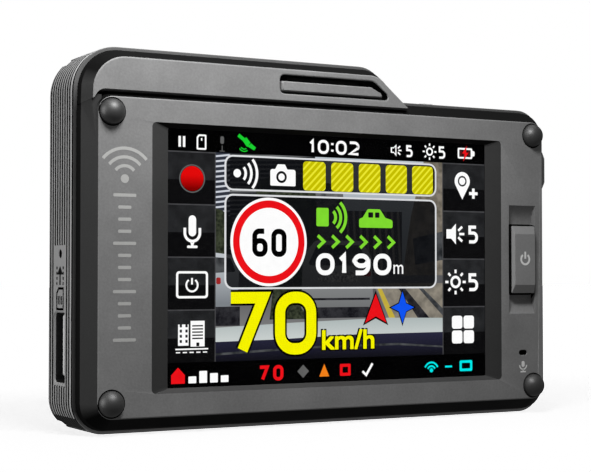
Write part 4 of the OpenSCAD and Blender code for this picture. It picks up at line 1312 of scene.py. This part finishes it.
def status_bar():
    """Signs and numbers in the top bar."""
    z = 20.4
    white = [bar(-31.6, -31.15, z - 0.95, z + 0.95), bar(-30.75, -30.3, z - 0.95, z + 0.95)]
    card = loop([(-26.2, z - 1.3, 0.2), (-26.2, z + 1.4, 0.2), (-27.7, z + 1.4, 0.1), (-28.1, z + 0.9, 0.1),
                 (-28.1, z - 1.3, 0.2)], 2)
    inner = loop([(-26.5, z - 1.0, 0.1), (-26.5, z + 1.1, 0.1), (-27.55, z + 1.1, 0.1),
                  (-27.8, z + 0.75, 0.1), (-27.8, z - 1.0, 0.1)], 2)
    white += [card, inner, bar(-27.25, -27.0, z + 0.3, z + 0.75)]
    white += speaker_shape(13.6, 20.7, 1.15, solid=False)
    white += sun_shape(21.3, 20.75, 1.55)
    battery = loop([(27.9, 19.7, 0.3), (31.3, 19.7, 0.3), (31.4, 20.2, 0.1), (31.9, 20.3, 0.1),
                    (31.9, 21.2, 0.1), (31.4, 21.3, 0.1), (31.3, 21.8, 0.3), (27.9, 21.8, 0.3)], 3)
    white += [battery, bar(28.25, 31.0, 20.05, 21.45, 0.1)]
    made = [stamp("area", white, MARK, WHITE)]
    made.append(stamp("area", [bar(-23.45, -22.75, z - 0.1, z + 1.25, 0.3),
                               stroke([(-23.1, z - 1.3), (-23.1, z - 0.4)], 0.16),
                               bar(-23.6, -22.6, z - 1.45, z - 1.32)], MARK, GREY))
    sat = [moved(bar(-0.5, 0.5, -0.75, 0.75, 0.15), -18.2, z + 0.45, 40)]
    sat += [moved(bar(side - 0.7, side + 0.7, -0.32, 0.32), -18.2, z + 0.45, -35) for side in (-1.35, 1.35)]
    sat += [stroke(arc(-18.7, z - 0.1, r, 215, 305, 8), 0.18) for r in (0.75, 1.15)]
    made.append(stamp("area", sat, MARK, BRIGHT_GREEN))
    bolt = [(30.0, 22.2), (28.9, 20.7), (29.5, 20.7), (29.2, 19.2), (30.4, 20.9), (29.8, 20.9)]
    made.append(stamp("area", [bolt], TOP, RED))
    cells = [bar(28.45 + 0.65 * k, 28.85 + 0.65 * k, 20.25, 21.25) for k in range(4)]
    made.append(stamp("area", cells, MARK, glow("picture_dark_red", (0.1, 0.012, 0.012))))
    made += figures("10:02", (-5.4, 5.5, 19.35, 21.95), MARK, WHITE, 0.5, 0.45)
    made += figures("5", (15.85, 17.4, 19.5, 21.8), MARK, WHITE, 0.42, 0)
    made += figures("5", (23.35, 24.95, 19.5, 21.9), MARK, WHITE, 0.42, 0)
    return shown("picture_status", made)


def left_cells():
    """Record, microphone, screen-off and town signs."""
    made = [stamp("area", [circle(-28.95, 13.95, 2.5), circle(-28.95, 13.95, 2.3)], MARK, GREY),
            stamp("area", [circle(-28.95, 13.95, 2.2)], MARK, shaded_glow("record_red", (0.75, 0.003, 0.003),
                    (0.2, 0.0, 0.0), 12.2, 14.6))]
    white = mic_shape(-28.9, 4.7, 5.6)
    white += [bar(-32.0, -25.85, -7.05, -2.3, 0.6), bar(-31.6, -26.25, -6.65, -2.7, 0.3)]
    white += power_shape(-28.95, -4.75, 1.1)
    tower = [(-31.6, -15.3), (-29.6, -15.3), (-29.6, -11.6), (-31.6, -11.6)]
    white.append(tower)
    white += [bar(-31.3 + 0.75 * i, -30.85 + 0.75 * i, -14.8 + 0.9 * k, -14.3 + 0.9 * k) for i in (0, 1.45)
              for k in range(4)]
    block_shape = [(-29.2, -15.5), (-26.5, -15.5), (-26.5, -11.0), (-29.2, -11.0)]
    white.append(block_shape)
    white += [bar(-28.9, -26.8, -12.0 - 0.55 * k, -11.75 - 0.55 * k) for k in range(5)]
    white.append(bar(-28.1, -27.5, -15.45, -14.8))
    white.append(bar(-32.1, -25.8, -16.05, -15.8))
    white += [bar(-32.0 + 1.3 * k, -31.2 + 1.3 * k, -16.6, -16.4) for k in range(5)]
    made.append(stamp("area", white, MARK, WHITE))
    return shown("picture_left_signs", made)


def right_cells():
    """Place mark, loudness, brightness and menu signs."""
    pin_x, pin_z = 28.95, 15.3
    pin = [(pin_x, 11.75)] + arc(pin_x, pin_z, 1.8, -25, 205, 24)
    white = [pin, circle(pin_x, pin_z, 1.05, 28), circle(pin_x, pin_z, 0.72, 24)]
    cross = [(0.3, 0.3), (0.3, 1.0), (-0.3, 1.0), (-0.3, 0.3), (-1.0, 0.3), (-1.0, -0.3), (-0.3, -0.3),
             (-0.3, -1.0), (0.3, -1.0), (0.3, -0.3), (1.0, -0.3), (1.0, 0.3)]
    white.append(moved(cross, 31.6, 12.95))
    white += speaker_shape(27.2, 5.0, 2.0)
    white += sun_shape(27.3, -4.3, 2.35)
    white += [bar(27.65 + 2.75 * i - 1.22, 27.65 + 2.75 * i + 1.22, -12.1 - 2.85 * k - 1.25, -12.1 - 2.85 * k
                  + 1.25, 0.5) for i in (0, 1) for k in (0, 1)]
    made = [stamp("area", white, MARK, WHITE)]
    made += figures("5", (30.25, 32.65, 3.2, 6.7), MARK, WHITE, 0.62, 0)
    made += figures("5", (30.25, 32.65, -6.1, -2.6), MARK, WHITE, 0.62, 0)
    return shown("picture_right_signs", made)


def message_boxes():
    """Five signal squares, the speed-limit sign, the distance and generic signs for its words."""
    made = []
    squares = [bar(-6.6 + 5.97 * k, -1.85 + 5.97 * k, 12.5, 17.85, 0.7) for k in range(5)]
    made.append(stamp("area", squares, MARK, HATCHED))
    waves = [circle(-20.1, 15.2, 0.75, 20)]
    waves += [stroke(arc(-20.1, 15.2, r, -40, 40, 14), 0.5) for r in (1.7, 2.85, 4.0)]
    waves += [loop([(-13.4, 13.2, 0.2), (-8.2, 13.2, 0.2), (-8.2, 16.2, 0.4), (-9.9, 16.2, 0.2),
                    (-10.4, 17.1, 0.2), (-11.9, 17.1, 0.2), (-12.4, 16.2, 0.2), (-13.4, 16.2, 0.4)], 3),
              circle(-11.1, 14.8, 1.1, 24), circle(-11.1, 14.8, 0.65, 20)]
    made.append(stamp("area", waves, MARK, WHITE))
    x, z = -13.65, 3.0
    made.append(stamp("area", [ellipse(x, z, 7.8, 8.0, 72)], MARK, WHITE))
    made.append(stamp("area", [ellipse(x, z, 7.3, 7.5, 72), ellipse(x, z, 6.0, 6.15, 72)], TOP, RED))
    made += figures("60", (-17.1, -10.1, 0.3, 5.4), TOP, BLACK, 0.98, 0.75)
    made += figures("0190", (-3.9, 12.5, -3.0, 1.05), MARK, WHITE, 0.88, 0.7)
    made.append(number("m", (13.0, 15.2, -2.75, -1.0), MARK, WHITE))
    beam = [bar(-3.8, -1.2, 6.0, 9.4, 0.3)]
    beam += [stroke(arc(-1.2, 7.7, r, -48, 48, 12), 0.6) for r in (1.5, 2.6, 3.7)]
    car = loop([(5.4, 5.9, 0.3), (12.8, 5.9, 0.3), (12.8, 7.4, 0.5), (11.2, 7.8, 0.3), (10.0, 9.4, 0.5),
                (7.3, 9.4, 0.5), (6.2, 7.8, 0.3), (5.4, 7.5, 0.4)], 3)
    made.append(stamp("area", beam + [car, bar(7.4, 8.5, 7.8, 8.8, 0.15), bar(8.9, 9.9, 7.8, 8.8, 0.15)],
                      MARK, GREEN))
    arrows = []
    for k in range(6):
        arrows.append(stroke([(-3.5 + 3.05 * k, 4.3), (-2.2 + 3.05 * k, 3.2), (-3.5 + 3.05 * k, 2.1)], 0.6))
    made.append(stamp("area", arrows, MARK, GREEN))
    return shown("picture_messages", made)


def speed_reading():
    """The large speed, its unit, and the course arrow with a compass sign."""
    made = figures("70", (-22.4, -3.9, -17.4, -6.0), MARK, BLACK, 2.05, 1.4, 0.38)
    made += figures("70", (-22.4, -3.9, -17.4, -6.0), TOP, YELLOW, 2.05, 1.4)
    for level, material, reach in ((MARK, BLACK, 0.34), (TOP, YELLOW, 0.1)):
        for k, (dx, dz) in enumerate(((-1, -1), (1, -1), (-1, 1), (1, 1))):
            box = (-2.55 + dx * reach, 8.55 + dx * reach, -16.65 + dz * reach, -13.15 + dz * reach)
            made.append(number("km/h", box, (level[0] - k * 0.002, level[1] - k * 0.002), material))
    arrow = [(9.0, -6.5), (6.65, -11.9), (9.0, -10.7), (11.35, -11.9)]
    outline = [(9.0, -5.9), (6.2, -12.4), (9.0, -11.1), (11.8, -12.4)]
    made.append(stamp("area", [outline], MARK, BLACK))
    made.append(stamp("area", [arrow], TOP, RED))
    star = [(r * math.sin(math.radians(45 * k)), r * math.cos(math.radians(45 * k)))
            for k, r in enumerate((3.0, 1.1, 2.6, 1.1, 3.0, 1.1, 2.6, 1.1))]
    made.append(stamp("area", [moved(star, 15.0, -9.1, 0, 1.18)], MARK, BLACK))
    made.append(stamp("area", [moved(star, 15.0, -9.1)], TOP, BLUE))
    return shown("picture_speed", made)


def info_bar():
    """Generic signs and a number in the bottom bar."""
    z = -20.6
    house = loop([(-32.9, z - 1.3, 0), (-30.3, z - 1.3, 0), (-30.3, z + 0.2, 0), (-31.6, z + 1.5, 0),
                  (-32.9, z + 0.2, 0)])
    made = [stamp("area", [house], MARK, RED)]
    town = [bar(-29.6 + 2.1 * k, -28.1 + 2.1 * k, z - 1.3, z - 0.1 + 0.45 * (k * 2 % 3), 0.1)
            for k in range(4)]
    made.append(stamp("area", town, MARK, WHITE))
    made += figures("70", (-15.8, -10.7, -22.0, -19.2), MARK, RED, 0.62, 0.9)
    diamond = [(0, 1.2), (-1.2, 0), (0, -1.2), (1.2, 0)]
    made.append(stamp("area", [moved(diamond, -6.6, z + 0.1)], MARK, GREY))
    made.append(stamp("area", [moved([(-1.0, -1.1), (1.1, -1.1), (0.05, 1.2)], -2.2, z + 0.1)], MARK, ORANGE))
    made.append(stamp("area",
                      [bar(1.2, 3.5, z - 1.0, z + 1.2, 0.2), bar(1.75, 2.95, z - 0.45, z + 0.65, 0.1)], MARK,
                      RED))
    made.append(stamp("area", [stroke([(6.1, z - 0.3), (6.9, z - 1.0), (8.3, z + 1.1)], 0.45)], MARK, WHITE))
    cyan = [stroke(arc(21.6, z - 0.7, r, 25, 155, 12), 0.35) for r in (0.9, 1.6)] + [circle(21.6, z - 0.6,
            0.4, 16)]
    cyan += [bar(24.8, 26.4, z - 0.18, z + 0.18), bar(28.2, 31.2, z - 1.0, z + 1.1, 0.3),
             bar(28.7, 30.7, z - 0.5, z + 0.6, 0.2)]
    made.append(stamp("area", cyan, MARK, CYAN))
    return shown("picture_info", made)


# ---------------------------------------------------------------- CAD nodes that stay

STEEL = metal("stainless", (0.55, 0.55, 0.56), 0.3, grain=0.4, stretch=(0.1, 1, 1))
CHIP = plastic("chip_epoxy", (0.012, 0.012, 0.013), 0.5, grain=0.12, bump=0.006)
NODE_MATERIALS = {
    STEEL: ["display_bracket", "key_board_screws", "board_screws", "shield_can", "card_socket",
            "power_switch",
            "side_switch", "reset_switch", "microphone", "power_inlet"],
    CHIP: ["main_processor", "memory_chips", "board_parts", "image_sensor", "laser_sensor"],
    circuit("green_board"): ["main_board", "key_board", "radar_board", "sensor_board"],
    metal("cast_zinc", (0.5, 0.5, 0.52), 0.45, grain=0.6, bump=0.02): ["radar_horn", "heat_sink"],
    metal("brass_knurled", (0.7, 0.45, 0.16), 0.35, grain=0.3, bump=0.03): ["threaded_inserts"],
    metal("gold_plate", (0.9, 0.62, 0.2), 0.2, grain=0.4): ["contact_pads"],
    metal("nickel_plate", (0.62, 0.6, 0.57), 0.2, grain=0.8): ["holding_magnets"],
    metal("battery_film", (0.6, 0.6, 0.62), 0.4, grain=1.5, bump=0.03): ["battery"],
    plastic("picture_panel_black", (0.004, 0.004, 0.005), 0.25, grain=1.0, bump=0.002): ["lcd_panel"],
    plastic("light_guide_white", (0.75, 0.75, 0.73), 0.4, grain=0.8, bump=0.004): ["backlight_unit"],
    plastic("ribbon_amber", (0.32, 0.11, 0.02), 0.3, grain=1.0, bump=0.003): ["display_flex"],
    plastic("soft_pad_blue", (0.25, 0.4, 0.55), 0.7, grain=0.4, bump=0.02): ["thermal_pad"],
    plastic("rubber_black", (0.01,) * 3, 0.8, grain=0.2, bump=0.01): ["microphone_boot"],
    plastic("speaker_black", (0.015,) * 3, 0.45, grain=0.3): ["speaker", "lens_holder", "contact_plate"],
    plastic("ceramic_tan", (0.5, 0.4, 0.27), 0.6, grain=0.2, bump=0.008): ["gps_antenna"],
    plastic("plunger_ivory", (0.7, 0.68, 0.6), 0.4, grain=0.5, bump=0.003): ["power_plunger", "side_plunger"],
}


def dress_nodes():
    for material, names in NODE_MATERIALS.items():
        for name in names:
            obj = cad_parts[name]
            obj.data.materials.clear()
            obj.data.materials.append(material)


# ---------------------------------------------------------------- studio

def floor():
    """A large pale floor under the part."""
    size = 3.0
    material, tree, main, coords = shader("floor_pale", (0.9,) * 3, 0.9, specular=0.1)
    tree.links.new(mix(tree, spread(tree, noise(tree, coords, 60), 0.0, 1.0), (0.89,) * 3, (0.91,) * 3),
                   main.inputs["Base Color"])
    verts = [(-size, -size, 0), (size, -size, 0), (size, size, 0), (-size, size, 0)]
    obj = mesh_object("floor", verts, [(0, 1, 2, 3)])
    obj.data.materials.append(material)
    obj.is_shadow_catcher = True
    obj.visible_glossy = False
    obj.visible_diffuse = False


def lamp(name, place, target, size, power, spread_angle=180):
    """A soft square light aimed at a point."""
    light = bpy.data.lights.new(name, "AREA")
    light.energy = power
    light.shape = "RECTANGLE"
    light.size, light.size_y = size
    light.spread = math.radians(spread_angle)
    obj = bpy.data.objects.new(name, light)
    obj.location = place
    obj.rotation_euler = (Vector(target) - Vector(place)).to_track_quat("-Z", "Y").to_euler()
    bpy.context.scene.collection.objects.link(obj)
    return obj


def studio():
    world = bpy.data.worlds.new("studio")
    world.use_nodes = True
    tree = world.node_tree
    seen = tree.nodes["Background"]
    seen.inputs["Color"].default_value = (1, 1, 1, 1)
    soft = add(tree, "Background", Color=(1, 1, 1, 1), Strength=0.15)
    straight = add(tree, "LightPath").outputs["Is Camera Ray"]
    both = add(tree, "MixShader", i0=straight, i1=soft.outputs[0], i2=seen.outputs[0])
    tree.links.new(both.outputs[0], tree.nodes["World Output"].inputs["Surface"])
    bpy.context.scene.world = world
    lamp("key_light", (-0.035, -0.07, 0.135), (-0.02, 0, 0.03), (0.05, 0.03), 0.20)
    lamp("top_light", (0, 0.02, 0.55), (0, 0, 0), (0.6, 0.4), 0.8)
    sun = bpy.data.lights.new("floor_wash", "SUN")
    sun.energy = 30
    sun.angle = math.radians(8)
    wash = bpy.data.objects.new("floor_wash", sun)
    bpy.context.scene.collection.objects.link(wash)
    lit = bpy.data.collections.new("floor_only")
    lit.objects.link(bpy.data.objects["floor"])
    wash.light_linking.receiver_collection = lit
    wash.light_linking.blocker_collection = lit
    lamp("left_light", (-0.5, 0.05, 0.10), (-0.05, 0, 0.04), (0.2, 0.4), 1.5)


def camera():
    data = bpy.data.cameras.new("camera")
    data.sensor_width = 36
    data.lens = 89.515
    data.clip_start = 0.01
    obj = bpy.data.objects.new("camera", data)
    obj.location = (-0.13839, -0.24287, 0.02707)
    obj.rotation_euler = (math.radians(91.556), 0, math.radians(-29.108))
    bpy.context.scene.collection.objects.link(obj)
    bpy.context.scene.camera = obj


camera()
floor()
studio()
dress_nodes()
front_shell()
sound_bar()
ball_screws()
power_key()
face_marks()
ribbed_housing()
side_marks()
side_key()
back_cover()
back_screws()
lens_parts()
laser_lens()
card_piece()
cover_glass()
street()
frames()
status_bar()
left_cells()
right_cells()
message_boxes()
speed_reading()
info_bar()

bpy.context.scene.view_settings.view_transform = "Standard"
